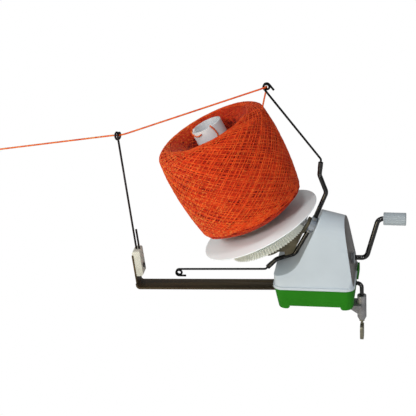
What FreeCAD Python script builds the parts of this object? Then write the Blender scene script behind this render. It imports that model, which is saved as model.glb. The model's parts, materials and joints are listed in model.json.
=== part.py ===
"""Yarn ball winder with a two-armed flyer and a leaning spool, in millimetres.

X runs along the guide bar towards the crank, Z is up, and the origin is at the centre
of the base's foot plane. The flyer turns about an axis that rises to the left, and the
spool turns about a spindle that leans to the left. Both axes meet in one point, the
apex, because a small bevel pinion on the flyer's axis drives the spool's ring gear.
"""
import FreeCAD, Part
import math
import os

V = FreeCAD.Vector
os.makedirs("parts", exist_ok=True)

# Base tray
BASE_LENGTH = 96.0
BASE_DEPTH = 76.0
BASE_HEIGHT = 27.0
BASE_CORNER = 10.0
TRAY_WALL = 2.5
TRAY_FLOOR = 2.5
FOOT_HEIGHT = 4.0
CENTRE_FOOT_RADIUS = 8.0
FOOT_LENGTH = 15.0
FOOT_WIDTH = 14.0
FOOT_ROUND = 3.5
LEFT_TAPER = 4.0
CRANK_END_TAPER = 0.8
SIDE_TAPER = 1.5

TAB_DEPTH = 25.0
TAB_FROM_BACK = 17.0
TAB_OUT = 2.6
TAB_THICK = 2.2
TAB_TOP = 31.0
TAB_LOW = 19.0
TAB_CORNER = 4.0
RIB_THICK = 3.0
BAR_RIB_AT = (16.0, 30.0)

# Screws, pins and posts
SCREW_HEAD = 3.0
SCREW_HEAD_THICK = 1.8
SCREW_SHANK = 1.5
SCREW_SINK = 5.0
PIN_RADIUS = 1.0
POST_RADIUS = 3.5
POST_FROM_END = 12.0
POST_FROM_SIDE = 8.0

# White housing
SHELL_WALL = 2.2
LIP_OUT = 1.4
LIP_HEIGHT = 3.2
ARCH_RADIUS = 25.0
CREST_ABOVE_CRANK = 57.4
CREST_FROM_END = 27.0
CREST_FALL = 0.25
END_TOP_IN = 13.0
FACE_BACK = 1.7
FACE_CURVE = 33.0
SILL_UNDER_ARM = 4.66
SHELL_BOSS_HEIGHT = 9.0
HUB_HOLE_PLAY = 1.2
CRANK_RING_RADIUS = 5.6
CRANK_RING_OUT = 3.6
CRANK_RING_FLANGE = 1.6

# Gear frame
FRAME_FLOOR = 17.0
FRAME_THICK = 3.0
FRAME_PLATE_LENGTH = 42.0
FRAME_LEFT_IN = 6.0
FRAME_POST_THICK = 5.0
FRAME_FROM_END = 12.4
FRAME_RIGHT_THICK = 3.4
FRAME_HALF = 12.0
FRAME_PLATE_HALF = 19.5
FRAME_FOOT_IN = (3.5, 6.5)
BOSS_WALL = 2.6
BEAM_LOW = 9.4
BEAM_HIGH = 13.0
BEAM_HALF = 5.0
TUBE_BLOCK_BELOW = 4.3

# Axes of the crank, the flyer and the spool
CRANK_HEIGHT = 53.6
FLYER_RISE = 25.6
SPINDLE_LEAN = 25.1
CRANK_GEAR_FROM_END = 35.1
HUB_FROM_CRANK_APEX = 97.7
FLANGE_BELOW_APEX = 45.2

# Gears
PRESSURE_ANGLE = 25.0
ADDENDUM = 0.8
DEDENDUM = 1.05
CRANK_TEETH = 40
CRANK_MODULE = 1.35
FLYER_TEETH = 11
FLYER_PINION_FACE = 5.5
ROD_PINION_FACE = 5.0
RING_TEETH = 80
RING_MODULE = 1.2
RING_FACE = 8.5
SPOOL_PINION_TEETH = 9
BACKLASH = 0.36

# Running fits
FIT = 0.05
GAP = 0.3

# Shafts on the flyer axis, from the inside out
ROD_RADIUS = 2.0
TUBE_RADIUS = 3.6
SLEEVE_RADIUS = 4.9
BUSH_WALL = 2.0
BUSH_LENGTH = 6.0
HUB_RADIUS = 8.2
HUB_LENGTH = 10.2
HUB_FRONT = 5.4
COLLAR_LENGTH = 3.2
TUBE_BLOCK_LENGTH = 5.0
SHAFT_PLAY = 0.4

HUB_SOCKET_OUT = 10.6
HUB_SOCKET_RADIUS = 3.5
HUB_SCREW_OUT = 8.4
HUB_SCREW_RADIUS = 1.2

# Flyer arms and wires, as places along the axis and out from it
ARM_RADIUS = 2.75
ARM_ROOT = (2.3, 6.6)
ARM_KNEE = (4.4, 46.0)
ARM_ELBOW = (21.2, 63.0)
ARM_TIP = (26.5, 78.2)
ARM_BEND = 9.0
FLYER_WIRE_RADIUS = 1.25
FLYER_EYE = (122.1, 136.7)
WIRE_SOCKET = 6.0
FERRULE_LENGTH = 8.0
FERRULE_RADIUS = 2.95
WIRE_STRAIGHT = 4.0
WIRE_BEND = 4.0
FLYER_COIL = (3.4, 1.49, 2.8, 9.0)
EYE_OVERLAP = 0.4

# Spool
FLANGE_RADIUS = 75.0
FLANGE_RIM = 2.4
FLANGE_CONE = 5.0
CORE_RADIUS = 19.0
CORE_WALL = 2.4
CORE_TOP = 141.5
CORE_NOTCH = 6.0
SPINDLE_RADIUS = 4.0
SPINDLE_TOP = 92.0
CARRIER_GAP = 3.2
CARRIER_THICK = 5.0
CARRIER_HALF_WIDTH = 7.0
BOSS_RADIUS = 12.5
BOSS_DEPTH = 13.0
CLIP_THICK = 1.2
CARRIER_RIB = 7.0
SKIRT = ((17.3, -46.0), (14.9, -50.2), (10.0, -46.0), (7.6, -42.0), (7.6, -12.6), (5.9, -11.6))
SPOOL_HUB_RADIUS = 10.0
SPOOL_HUB_TOP = 84.0
FLANGE_DISH = 3.0
RING_BORE = 36.0
RING_WEB = 3.0
CORE_BRIDGE = 4.0
CORE_NOTCH_HALF = 3.0

# Ball of yarn, as heights above the flange and radii
BALL_BOTTOM = 5.0
BALL_FOOT_RADIUS = 26.0
BALL_SHOULDER = (22.6, 63.6)
BALL_BELLY = (86.0, 70.7)
BALL_TOP = (129.5, 68.1)
BALL_CREST = (135.4, 50.0)
BALL_HOLLOW = (108.0, 24.0)
BALL_FOOT_BOW = 0.6
BALL_SIDE_BOW = 1.6
BALL_TOP_BOW = 1.0
BALL_CREST_BOW = 2.6
BALL_HOLLOW_BOW = 4.0

# Crank
CRANK_ROD_RADIUS = 3.0
CRANK_THROW = 52.8
CRANK_OUT = 13.0
CRANK_RUN_OUT = 27.5
CRANK_BEND = 8.0
GRIP_OUT = 33.5
GRIP_LENGTH = 26.6
GRIP_RADIUS = 7.6
GRIP_RIBS = 18
GRIP_RIB_DEPTH = 0.45
WASHER_THICK = 1.2
CRANK_START_IN = 1.0
CRANK_HUB_RADIUS = 6.5
CRANK_GEAR_RECESS = 5.0
CRANK_GEAR_RECESS_RADIUS = 20.0
CRANK_PIN_IN = 2.4
GRIP_CLOSED = 3.0
GRIP_ROUND = 0.9
GRIP_GROOVE = 0.8
GRIP_PLAIN_END = 1.6
GRIP_RING_AT = 17.5
GRIP_RING_RADIUS = 4.4

# Guide bar, clip and wire
BAR_WIDTH = 24.0
BAR_THICK = 2.4
BAR_DROP = 2.0
BAR_END_X = -222.9
BAR_AT_BASE_Z = 12.8
BAR_INSIDE = 42.0
UPRIGHT_HEIGHT = 44.0
UPRIGHT_LEAN = 4.5
BAR_BEND = 4.0
CLIP_HEIGHT = 34.0
CLIP_WIDTH = 17.6
CLIP_DEPTH = 8.4
CLIP_LIFT = 15.5
CLIP_CHAMFER = 2.0
CLIP_EDGE = 1.0
CLIP_CAP = 0.3
CLIP_SCREW_AT = 26.9
UPRIGHT_WIDTH = 18.0
BAR_SCREW_IN = 31.5
BAR_SCREW_LENGTH = 5.5
SLOT_PLAY = 0.3
GUIDE_WIRE_RADIUS = 1.25
GUIDE_EYE_AT = 257.5
GUIDE_COIL = (4.2, 1.42, 3.4, 5.0)
GUIDE_EYE_YAW = 71.0
WIRE_RETURN = 26.5
WIRE_SPACING = 3.7
WIRE_ACROSS = 4.0
WIRE_TURN_AT = 15.5
WIRE_BEND_UP = 2.0

# Table clamp
HOOK_RADIUS = 2.5
HOOK_OUT = 7.2
HOOK_TOP_Z = 18.4
HOOK_BEND = 5.6
HOOK_BOSS_LENGTH = 5.0
HOOK_PIN_IN = 4.8
JAW_RADIUS = 5.6
JAW_END_RADIUS = 3.8
JAW_END_TAPER = 3.5
JAW_TOP_Z = 2.0
JAW_BOTTOM_Z = -31.0
JAW_PAD_REACH = 23.0
JAW_PAD_Z = -8.0
JAW_PAD_THICK = 4.0
JAW_PAD_HALF = 10.0
HOOK_IN_JAW = 15.0
SCREW_RADIUS = 1.5
SCREW_TIP_IN_HOOK = 16.0
HOOK_BORE_DEPTH = 25.0
PADDLE_TOP_Z = -38.0
PADDLE_BOTTOM_Z = -59.0
PADDLE_WIDTH = 15.0
PADDLE_THICK = 4.2
JAW_RIB_REACH = 21.6
JAW_RIB_LOW = -27.0
JAW_RIB_HALF = 2.0
JAW_FLOOR = 3.0
COLLAR_THICK = 2.0
COLLAR_RADIUS = 3.2

# Yarn on its way to the ball
YARN_RADIUS = 1.0
YARN_FAR_X = -394.0
YARN_FAR_Z = 185.6
YARN_KNOT_RADIUS = 3.2
YARN_BEND = 2.5
YARN_EYE_TURN = 1.0
YARN_EYE_SIDE = 4.7
YARN_EYE_DROP = 0.5
YARN_GUIDE_RISE = (0.4, 1.7)
YARN_PAST_EYE = 11.0
YARN_LANDING = (130.8, 69.2)
YARN_LAND_DEPTH = 2.0


def direction(rise):
    """Unit vector in the XZ plane that rises to the left by this many degrees."""
    angle = math.radians(rise)
    return V(-math.cos(angle), 0, math.sin(angle))


def cone_angle(teeth, other_teeth, shaft_angle):
    """Pitch cone half angle in radians of a bevel gear whose mate has other_teeth."""
    sigma = math.radians(shaft_angle)
    return math.atan2(math.sin(sigma), other_teeth / teeth + math.cos(sigma))


FLYER_DIR = direction(FLYER_RISE)
SPOOL_DIR = direction(90 - SPINDLE_LEAN)
FLYER_OUT = V(FLYER_DIR.z, 0, -FLYER_DIR.x)
SPOOL_OUT = V(SPOOL_DIR.z, 0, -SPOOL_DIR.x)
DEPTH_DIR = V(0, 1, 0)
END_X = BASE_LENGTH / 2
CRANK_GEAR_FACE_X = END_X - CRANK_GEAR_FROM_END

CRANK_CONE = cone_angle(CRANK_TEETH, FLYER_TEETH, FLYER_RISE)
CRANK_APEX_DISTANCE = CRANK_MODULE * CRANK_TEETH / 2 / math.sin(CRANK_CONE)
CRANK_APEX = V(CRANK_GEAR_FACE_X + CRANK_APEX_DISTANCE * math.cos(CRANK_CONE), 0, CRANK_HEIGHT)

SPOOL_SHAFT_ANGLE = 90 - FLYER_RISE - SPINDLE_LEAN
RING_CONE = cone_angle(RING_TEETH, SPOOL_PINION_TEETH, SPOOL_SHAFT_ANGLE)
SPOOL_PINION_CONE = math.radians(SPOOL_SHAFT_ANGLE) - RING_CONE
RING_APEX_DISTANCE = RING_MODULE * RING_TEETH / 2 / math.sin(RING_CONE)

# Stations along the flyer axis, counted from the hub point towards the spool
HUB_POINT = CRANK_APEX + FLYER_DIR * HUB_FROM_CRANK_APEX
COLLAR_BACK = HUB_FRONT + 0.5
COLLAR_FRONT = COLLAR_BACK + COLLAR_LENGTH
TUBE_END = COLLAR_FRONT + 0.6
SPOOL_PINION_BACK = TUBE_END + 1.0
APEX_AT = SPOOL_PINION_BACK + RING_APEX_DISTANCE * math.cos(SPOOL_PINION_CONE)
APEX = HUB_POINT + FLYER_DIR * APEX_AT
FLANGE_CENTRE = APEX - SPOOL_DIR * FLANGE_BELOW_APEX
RING_BOTTOM = FLANGE_BELOW_APEX - RING_APEX_DISTANCE * math.cos(RING_CONE)
RING_TOP = RING_BOTTOM + RING_FACE * math.cos(RING_CONE)
CARRIER_TOP = RING_BOTTOM - CARRIER_GAP
CARRIER_BOTTOM = CARRIER_TOP - CARRIER_THICK
FLYER_PINION_CONE = math.radians(FLYER_RISE) - CRANK_CONE
SPOOL_PINION_FRONT = SPOOL_PINION_BACK + RING_FACE * math.cos(SPOOL_PINION_CONE)
HUB_BACK = HUB_FRONT - HUB_LENGTH
SLEEVE_BUSH_FRONT = HUB_BACK - SHAFT_PLAY
SLEEVE_BUSH_BACK = SLEEVE_BUSH_FRONT - BUSH_LENGTH
FLYER_PINION_SIZE = (CRANK_APEX_DISTANCE - FLYER_PINION_FACE) * math.cos(FLYER_PINION_CONE)
FLYER_PINION_BACK = FLYER_PINION_SIZE - HUB_FROM_CRANK_APEX
TUBE_BLOCK_FRONT = FLYER_PINION_BACK - SHAFT_PLAY
TUBE_BLOCK_BACK = TUBE_BLOCK_FRONT - TUBE_BLOCK_LENGTH
TUBE_SCREW_AT = (TUBE_BLOCK_FRONT + TUBE_BLOCK_BACK) / 2
ROD_PINION_FRONT = TUBE_BLOCK_BACK - SHAFT_PLAY
ROD_PINION_DISTANCE = (ROD_PINION_FRONT + HUB_FROM_CRANK_APEX) / math.cos(FLYER_PINION_CONE)
ROD_PINION_BACK = ROD_PINION_FRONT - ROD_PINION_FACE * math.cos(FLYER_PINION_CONE)
CRANK_GEAR_FACE = CRANK_APEX_DISTANCE - ROD_PINION_DISTANCE + ROD_PINION_FACE

# Other places worked out from the sizes above
POST_X = END_X - POST_FROM_END
POST_Y = BASE_DEPTH / 2 - POST_FROM_SIDE
TAB_MIDDLE = BASE_DEPTH / 2 - TAB_FROM_BACK
CREST_HEIGHT = CRANK_HEIGHT + CREST_ABOVE_CRANK
FRAME_RIGHT_X = END_X - FRAME_FROM_END
FRAME_PLATE_X = FRAME_RIGHT_X + FRAME_RIGHT_THICK - FRAME_PLATE_LENGTH
FRAME_LEFT_X = FRAME_PLATE_X + FRAME_LEFT_IN
CRANK_START_X = FRAME_LEFT_X - CRANK_START_IN
FRAME_FOOT_X = (FRAME_PLATE_X + FRAME_FOOT_IN[0], FRAME_RIGHT_X + FRAME_RIGHT_THICK - FRAME_FOOT_IN[1])
FRAME_FOOT_Y = FRAME_PLATE_HALF - POST_RADIUS
CRANK_OUT_X = END_X + CRANK_OUT
CRANK_RUN_X = END_X + CRANK_RUN_OUT
GRIP_START_X = END_X + GRIP_OUT
GRIP_RING_X = GRIP_START_X + GRIP_RING_AT
CRANK_PIN_X = FRAME_RIGHT_X - CRANK_PIN_IN
HOOK_X = END_X + HOOK_OUT
HOOK_PIN_X = END_X - HOOK_PIN_IN
BUSH_OUTER = SLEEVE_RADIUS + FIT + BUSH_WALL
CRANK_BUSH_OUTER = CRANK_ROD_RADIUS + FIT + BUSH_WALL
TRAY_INSIDE_FLOOR = FOOT_HEIGHT + TRAY_FLOOR
HUB_UNDER = CARRIER_TOP + GAP
BAR_OUTSIDE = (-BASE_LENGTH / 2 - BAR_END_X) / math.cos(math.radians(BAR_DROP))


def on_flyer(along, out, depth=0.0):
    """Point at a place along the flyer axis, out from it in the plane, and in depth."""
    return HUB_POINT + FLYER_DIR * along + FLYER_OUT * out + DEPTH_DIR * depth


def on_spool(height, out, depth=0.0):
    """Point at a height above the flange on the spool, out from its axis."""
    return FLANGE_CENTRE + SPOOL_DIR * height + SPOOL_OUT * out + DEPTH_DIR * depth


def bar(start, end, radius):
    """Round bar from one point to another."""
    return Part.makeCylinder(radius, (end - start).Length, start, end - start)


def tube(start, end, outer, inner):
    """Round tube from one point to another."""
    return bar(start, end, outer).cut(bar(start, end, inner))


def plate(points, half_depth, middle=0.0):
    """Plate with this outline in the XZ plane, as thick in Y as twice half_depth."""
    outline = [V(p.x, middle - half_depth, p.z) for p in points]
    return Part.Face(Part.makePolygon(outline + outline[:1])).extrude(V(0, 2 * half_depth, 0))


def path_wire(points, bend):
    """Wire of straight runs through the points, joined by tangent arcs of one radius."""
    edges = []
    last = points[0]
    for before, corner, after in zip(points, points[1:], points[2:]):
        to_before = (before - corner).normalize()
        to_after = (after - corner).normalize()
        half = to_before.getAngle(to_after) / 2
        reach = bend / math.tan(half)
        middle = (to_before + to_after).normalize() * (bend / math.sin(half))
        start = corner + to_before * reach
        end = corner + to_after * reach
        top = corner + middle - middle.normalize() * bend
        edges.append(Part.LineSegment(last, start).toShape())
        edges.append(Part.Arc(start, top, end).toShape())
        last = end
    edges.append(Part.LineSegment(last, points[-1]).toShape())
    return Part.Wire(edges)


def rod(points, radius, bend):
    """Round rod along straight runs joined by arcs."""
    wire = path_wire(points, bend)
    circle = Part.Wire(Part.makeCircle(radius, points[0], points[1] - points[0]))
    return wire.makePipeShell([circle], True, False)


def helix_eye(centre, radius, wire_radius, turns, pitch):
    """Open coil of wire about the Y axis through centre, and its two end points."""
    helix = Part.makeHelix(pitch, pitch * turns, radius)
    profile = Part.Wire(Part.makeCircle(wire_radius, V(radius, 0, 0), V(0, 1, 0)))
    coil = Part.Wire(helix.Edges).makePipeShell([profile], True, True)
    coil.translate(V(0, 0, -pitch * turns / 2))
    coil.rotate(V(0, 0, 0), V(1, 0, 0), -90)
    coil.translate(centre)
    return coil


def revolve(profile, origin, axis, out):
    """Solid of revolution; the profile is a closed wire drawn as (out, 0, height)."""
    turned = Part.Face(profile).revolve(V(0, 0, 0), V(0, 0, 1), 360)
    place = FreeCAD.Placement(origin, FreeCAD.Rotation(out, axis.cross(out), axis, "ZXY"))
    turned.Placement = place
    return turned


def lathe(points, origin, axis, out):
    """Solid of revolution whose profile is straight between (radius, height) points."""
    corners = [V(radius, 0, height) for radius, height in points]
    return revolve(Part.makePolygon(corners + corners[:1]), origin, axis, out)


def involute(angle):
    return math.tan(angle) - angle


def bevel_gear(teeth, module, cone, face, apex, axis, towards, on_tooth):
    """Straight bevel gear below its apex, with a tooth or a gap facing towards.

    The teeth are involutes on the back cone, seen from the apex in the plane of the
    gear's large end. The small end is that section drawn in towards the apex.
    """
    distance = module * teeth / 2 / math.sin(cone)
    back_radius = module * teeth / 2 / math.cos(cone)
    pressure = math.radians(PRESSURE_ANGLE)
    base_radius = back_radius * math.cos(pressure)
    half_pitch_tooth = (math.pi * module / 2 - BACKLASH / 2) / 2 / back_radius

    def section_radius(out):
        flat = distance * math.cos(cone)
        scale = flat / (flat - out * math.sin(cone))
        return (distance * math.sin(cone) + out * math.cos(cone)) * scale

    def flank_point(out):
        radius = max(back_radius + out, base_radius)
        turn = involute(math.acos(base_radius / radius))
        half = half_pitch_tooth + involute(pressure) - turn
        return section_radius(out), half / math.cos(cone)

    steps = 5
    low = -DEDENDUM * module
    high = ADDENDUM * module
    flank = [flank_point(low + (high - low) * i / (steps - 1)) for i in range(steps)]
    pitch_angle = 2 * math.pi / teeth
    offset = 0.0 if on_tooth else pitch_angle / 2
    height = -distance * math.cos(cone)

    def spot(radius, angle, scale):
        return V(radius * math.cos(angle), radius * math.sin(angle), height) * scale

    def section(scale):
        edges = []
        first = None
        last = None
        for i in range(teeth):
            middle = offset + i * pitch_angle
            rise = [spot(r, middle - a, scale) for r, a in flank]
            fall = [spot(r, middle + a, scale) for r, a in reversed(flank)]
            if last is not None:
                edges.append(Part.LineSegment(last, rise[0]).toShape())
            first = first or rise[0]
            for side in (rise, fall):
                curve = Part.BSplineCurve()
                curve.interpolate(side)
                edges.append(curve.toShape())
                if side is rise:
                    edges.append(Part.LineSegment(rise[-1], fall[0]).toShape())
            last = fall[-1]
        edges.append(Part.LineSegment(last, first).toShape())
        return Part.Wire(edges)

    gear = Part.makeLoft([section(1.0), section((distance - face) / distance)], True, True)
    sideways = axis.cross(towards)
    gear.Placement = FreeCAD.Placement(apex, FreeCAD.Rotation(towards, sideways, axis, "ZXY"))
    return gear


def rounded_box(length, depth, low, high, corner):
    """Upright block with rounded vertical corners, centred on the origin."""
    block = Part.makeBox(length, depth, high - low, V(-length / 2, -depth / 2, low))
    upright = [e for e in block.Edges if abs(e.Vertexes[0].Z - e.Vertexes[-1].Z) > 1e-6]
    return block.makeFillet(corner, upright)


def end_wall_x(height):
    """Place of the housing's crank-end face at a height."""
    share = (height - BASE_HEIGHT) / (CREST_HEIGHT - BASE_HEIGHT)
    return END_X - END_TOP_IN * share


def housing_section(x, inset, low):
    """Arched cross-section of the housing at x, drawn inside the outer one by inset."""
    radius = ARCH_RADIUS - inset
    half = BASE_DEPTH / 2 - inset
    centre_z = CREST_HEIGHT - CREST_FALL * (x - END_X + CREST_FROM_END) - ARCH_RADIUS
    distance = math.hypot(half, centre_z - low)
    touch = math.atan2(low - centre_z, half) + math.acos(radius / distance)
    quarter = (touch + math.pi / 2) / 2

    def on_arch(angle, side):
        return V(x, side * radius * math.cos(angle), centre_z + radius * math.sin(angle))

    crest = on_arch(math.pi / 2, 1)
    right = V(x, half, low)
    left = V(x, -half, low)
    return Part.Wire([
        Part.LineSegment(left, right).toShape(),
        Part.LineSegment(right, on_arch(touch, 1)).toShape(),
        Part.Arc(on_arch(touch, 1), on_arch(quarter, 1), crest).toShape(),
        Part.Arc(crest, on_arch(quarter, -1), on_arch(touch, -1)).toShape(),
        Part.LineSegment(on_arch(touch, -1), left).toShape(),
    ])


def arm_height(x):
    """Height of the lower flyer arm's middle line at x."""
    knee, elbow, tip = [mirrored(place, -1) for place in (ARM_KNEE, ARM_ELBOW, ARM_TIP)]
    start, end = (knee, elbow) if x > elbow.x else (elbow, tip)
    return start.z + (end.z - start.z) * (x - start.x) / (end.x - start.x)


def housing_body(inset, low):
    """Solid housing with its swept flyer face and leaning crank end, inset all round."""
    ends = [housing_section(side * BASE_LENGTH, inset, low) for side in (-1, 1)]
    loft = Part.makeLoft(ends, True, True)
    back = FACE_BACK + inset
    radius = FACE_CURVE + inset
    sill = arm_height(-END_X) - SILL_UNDER_ARM - inset
    high = CREST_HEIGHT + ARCH_RADIUS

    def out_at(height):
        return (height - HUB_POINT.z + back * FLYER_DIR.z) / FLYER_OUT.z

    start = on_flyer(-back, out_at(sill + radius * (1 - FLYER_DIR.z)))
    centre = start + FLYER_DIR * radius
    end = centre - V(0, 0, radius)
    middle = centre - (FLYER_DIR + V(0, 0, 1)).normalize() * radius
    left_x = -BASE_LENGTH / 2 + inset
    if end.x < left_x:
        end = centre - V(centre.x - left_x, 0, math.sqrt(radius ** 2 - (centre.x - left_x) ** 2))
    corners = [
        end,
        V(left_x, 0, sill),
        V(left_x, 0, low),
        V(end_wall_x(low) - inset, 0, low),
        V(end_wall_x(high) - inset, 0, high),
        on_flyer(-back, out_at(high)),
        start,
    ]
    corners = [p for i, p in enumerate(corners) if i == 0 or (p - corners[i - 1]).Length > 0.01]
    edges = [Part.LineSegment(a, b).toShape() for a, b in zip(corners, corners[1:])]
    edges.append(Part.Arc(start, middle, end).toShape())
    outline = Part.Wire(edges)
    outline.translate(V(0, -BASE_DEPTH, 0))
    keep = Part.Face(outline).extrude(V(0, 2 * BASE_DEPTH, 0))
    plan = rounded_box(BASE_LENGTH - 2 * inset, BASE_DEPTH - 2 * inset, low, high, BASE_CORNER - inset)
    return loft.common(keep).common(plan)


def on_bar(distance, up, depth=0.0):
    """Point on the sloping guide bar, counted outwards from the base's left wall."""
    drop = math.radians(BAR_DROP)
    along = V(-math.cos(drop), 0, -math.sin(drop))
    normal = V(-math.sin(drop), 0, math.cos(drop))
    return V(-BASE_LENGTH / 2, depth, BAR_AT_BASE_Z) + along * distance + normal * up


def on_upright(height, across, depth=0.0):
    """Point beside the guide bar's bent-up end, by height above the bar."""
    lean = math.radians(UPRIGHT_LEAN)
    along = V(-math.sin(lean), 0, math.cos(lean))
    aside = V(math.cos(lean), 0, math.sin(lean))
    return on_bar(BAR_OUTSIDE, 0, depth) + along * height + aside * across


def union(shapes):
    """One solid out of pieces that overlap."""
    joined = shapes[0].fuse(shapes[1:])
    return joined.removeSplitter()


def save(shape, name):
    """Write one sub-part, and say if it is not made of whole solids."""
    if not shape.isValid() or not shape.Solids:
        print("problem with", name)
    if len(shape.Solids) == 1:
        shape = shape.Solids[0]
    shape.exportStep("parts/" + name + ".step")
    print(name, len(shape.Solids), "volume", round(shape.Volume, 1))


# Housing and base
def base_tray():
    """Green tray with its feet, screw posts, bar slot, hook boss and end tab."""
    outer = tapered_block(0.0, FOOT_HEIGHT, BASE_HEIGHT)
    inside = tapered_block(TRAY_WALL, TRAY_INSIDE_FLOOR, BASE_HEIGHT)
    pieces = [outer.cut(inside)] + tray_feet()
    pieces.append(Part.makeCylinder(CENTRE_FOOT_RADIUS, TRAY_INSIDE_FLOOR - 1))
    for x, y in corner_places(POST_X, POST_Y):
        height = BASE_HEIGHT - TRAY_INSIDE_FLOOR + 1
        pieces.append(Part.makeCylinder(POST_RADIUS, height, V(x, y, TRAY_INSIDE_FLOOR - 1)))
    for x in FRAME_FOOT_X:
        for y in (-FRAME_FOOT_Y, FRAME_FOOT_Y):
            height = FRAME_FLOOR - TRAY_INSIDE_FLOOR + 1
            pieces.append(Part.makeCylinder(POST_RADIUS, height, V(x, y, TRAY_INSIDE_FLOOR - 1)))
    inner_x = END_X - TRAY_WALL
    for distance in BAR_RIB_AT:
        rib_x = distance - END_X
        pieces.append(Part.makeBox(RIB_THICK, BAR_WIDTH + 8, BASE_HEIGHT - TRAY_INSIDE_FLOOR - 3,
                                   V(rib_x, -BAR_WIDTH / 2 - 4, TRAY_INSIDE_FLOOR - 1)))
    boss_start = V(inner_x - HOOK_BOSS_LENGTH, 0, HOOK_TOP_Z)
    pieces.append(bar(boss_start, V(inner_x + 1, 0, HOOK_TOP_Z), HOOK_RADIUS + BOSS_WALL))
    pieces.append(end_tab(0.0))
    tray = union(pieces)
    tray = tray.cut(bar_space(SLOT_PLAY))
    tray = tray.cut(bar(boss_start - V(1, 0, 0), V(BASE_LENGTH, 0, HOOK_TOP_Z), HOOK_RADIUS + FIT))
    tray = tray.cut(bar(V(HOOK_PIN_X, 0, 0), V(HOOK_PIN_X, 0, BASE_HEIGHT), PIN_RADIUS))
    for x, y in corner_places(POST_X, POST_Y):
        tray = tray.cut(Part.makeCylinder(SCREW_SHANK, BASE_HEIGHT, V(x, y, FOOT_HEIGHT - 1)))
        tray = tray.cut(Part.makeCylinder(SCREW_HEAD + GAP, SCREW_SINK, V(x, y, FOOT_HEIGHT)))
        tray = tray.cut(Part.makeCylinder(SCREW_HEAD + GAP, FOOT_HEIGHT, V(x, y, 0)))
    seat = on_bar(-BAR_SCREW_IN, 0)
    tray = tray.cut(bar(seat, on_bar(-BAR_SCREW_IN, BASE_HEIGHT), SCREW_HEAD + GAP))
    return tray.cut(bar(on_bar(-BAR_SCREW_IN, BAR_THICK / 2 - BAR_SCREW_LENGTH), seat, SCREW_SHANK))


def tray_outline(inset, height):
    """Closed outline of the tapering tray at a height, drawn inside the outer one by inset."""
    share = (BASE_HEIGHT - height) / (BASE_HEIGHT - FOOT_HEIGHT)
    left = inset + LEFT_TAPER * share - END_X
    right = END_X - inset - CRANK_END_TAPER * share
    half_y = BASE_DEPTH / 2 - inset - SIDE_TAPER * share
    corner = BASE_CORNER - inset
    block = Part.makeBox(right - left, 2 * half_y, corner, V(left, -half_y, height))
    upright = [e for e in block.Edges if abs(e.Vertexes[0].Z - e.Vertexes[-1].Z) > 1e-6]
    rounded = block.makeFillet(corner, upright)
    return [f for f in rounded.Faces if abs(f.CenterOfMass.z - height) < 1e-6][0].OuterWire


def tapered_block(inset, low, high):
    """Solid with the tray's tapering sides between two heights."""
    return Part.makeLoft([tray_outline(inset, low), tray_outline(inset, high)], True, True)


def tray_feet():
    """Four corner feet with rounded lower ends, trimmed to the tray's tapering outline."""
    height = TRAY_INSIDE_FLOOR - 1
    outline = tapered_block(0.0, 0.0, TRAY_INSIDE_FLOOR)
    starts = (LEFT_TAPER - END_X, END_X - CRANK_END_TAPER - FOOT_LENGTH)
    side = BASE_DEPTH / 2 - SIDE_TAPER
    feet = []
    for x in starts:
        for y in (-side, side - FOOT_WIDTH):
            block = Part.makeBox(FOOT_LENGTH, FOOT_WIDTH, height, V(x, y, 0))
            low_ends = [e for e in block.Edges if e.CenterOfMass.z < 1e-6
                        and abs(e.Vertexes[0].Y - e.Vertexes[-1].Y) > 1e-6]
            feet.append(block.makeFillet(FOOT_ROUND, low_ends).common(outline))
    return feet


def corner_places(x, y):
    """The four corners of a rectangle centred on the origin."""
    return [(-x, -y), (x, -y), (-x, y), (x, y)]


def bar_space(play):
    """Room for the guide bar's straight part inside the base."""
    half = BAR_WIDTH / 2 + play
    thick = BAR_THICK / 2 + play
    corners = [on_bar(-BAR_INSIDE - play, -thick), on_bar(TRAY_WALL, -thick)]
    corners += [on_bar(TRAY_WALL, thick), on_bar(-BAR_INSIDE - play, thick)]
    return plate(corners, half)


def end_tab(grow):
    """Raised green tab at the far side of the crank end."""
    low = TAB_LOW
    inner_x = end_wall_x(TAB_TOP) - grow
    outer_x = END_X + TAB_OUT + grow
    half = TAB_DEPTH / 2 + grow
    tab = Part.makeBox(outer_x - inner_x, 2 * half, TAB_TOP + grow - low, V(inner_x, TAB_MIDDLE - half, low))
    top_edges = [e for e in tab.Edges if abs(e.CenterOfMass.z - TAB_TOP - grow) < 1e-6
                 and abs(e.Vertexes[0].X - e.Vertexes[-1].X) > 1e-6]
    tab = tab.makeFillet(TAB_CORNER, top_edges)
    return tab.cut(tab_recess(grow))


def tab_recess(grow):
    """Space inside the tab, which leaves it as thick as a wall."""
    x = END_X + TAB_OUT - TAB_THICK - grow
    return Part.makeBox(BASE_LENGTH, 2 * BASE_DEPTH, TAB_TOP, V(x - BASE_LENGTH, -BASE_DEPTH, BASE_HEIGHT))


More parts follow.
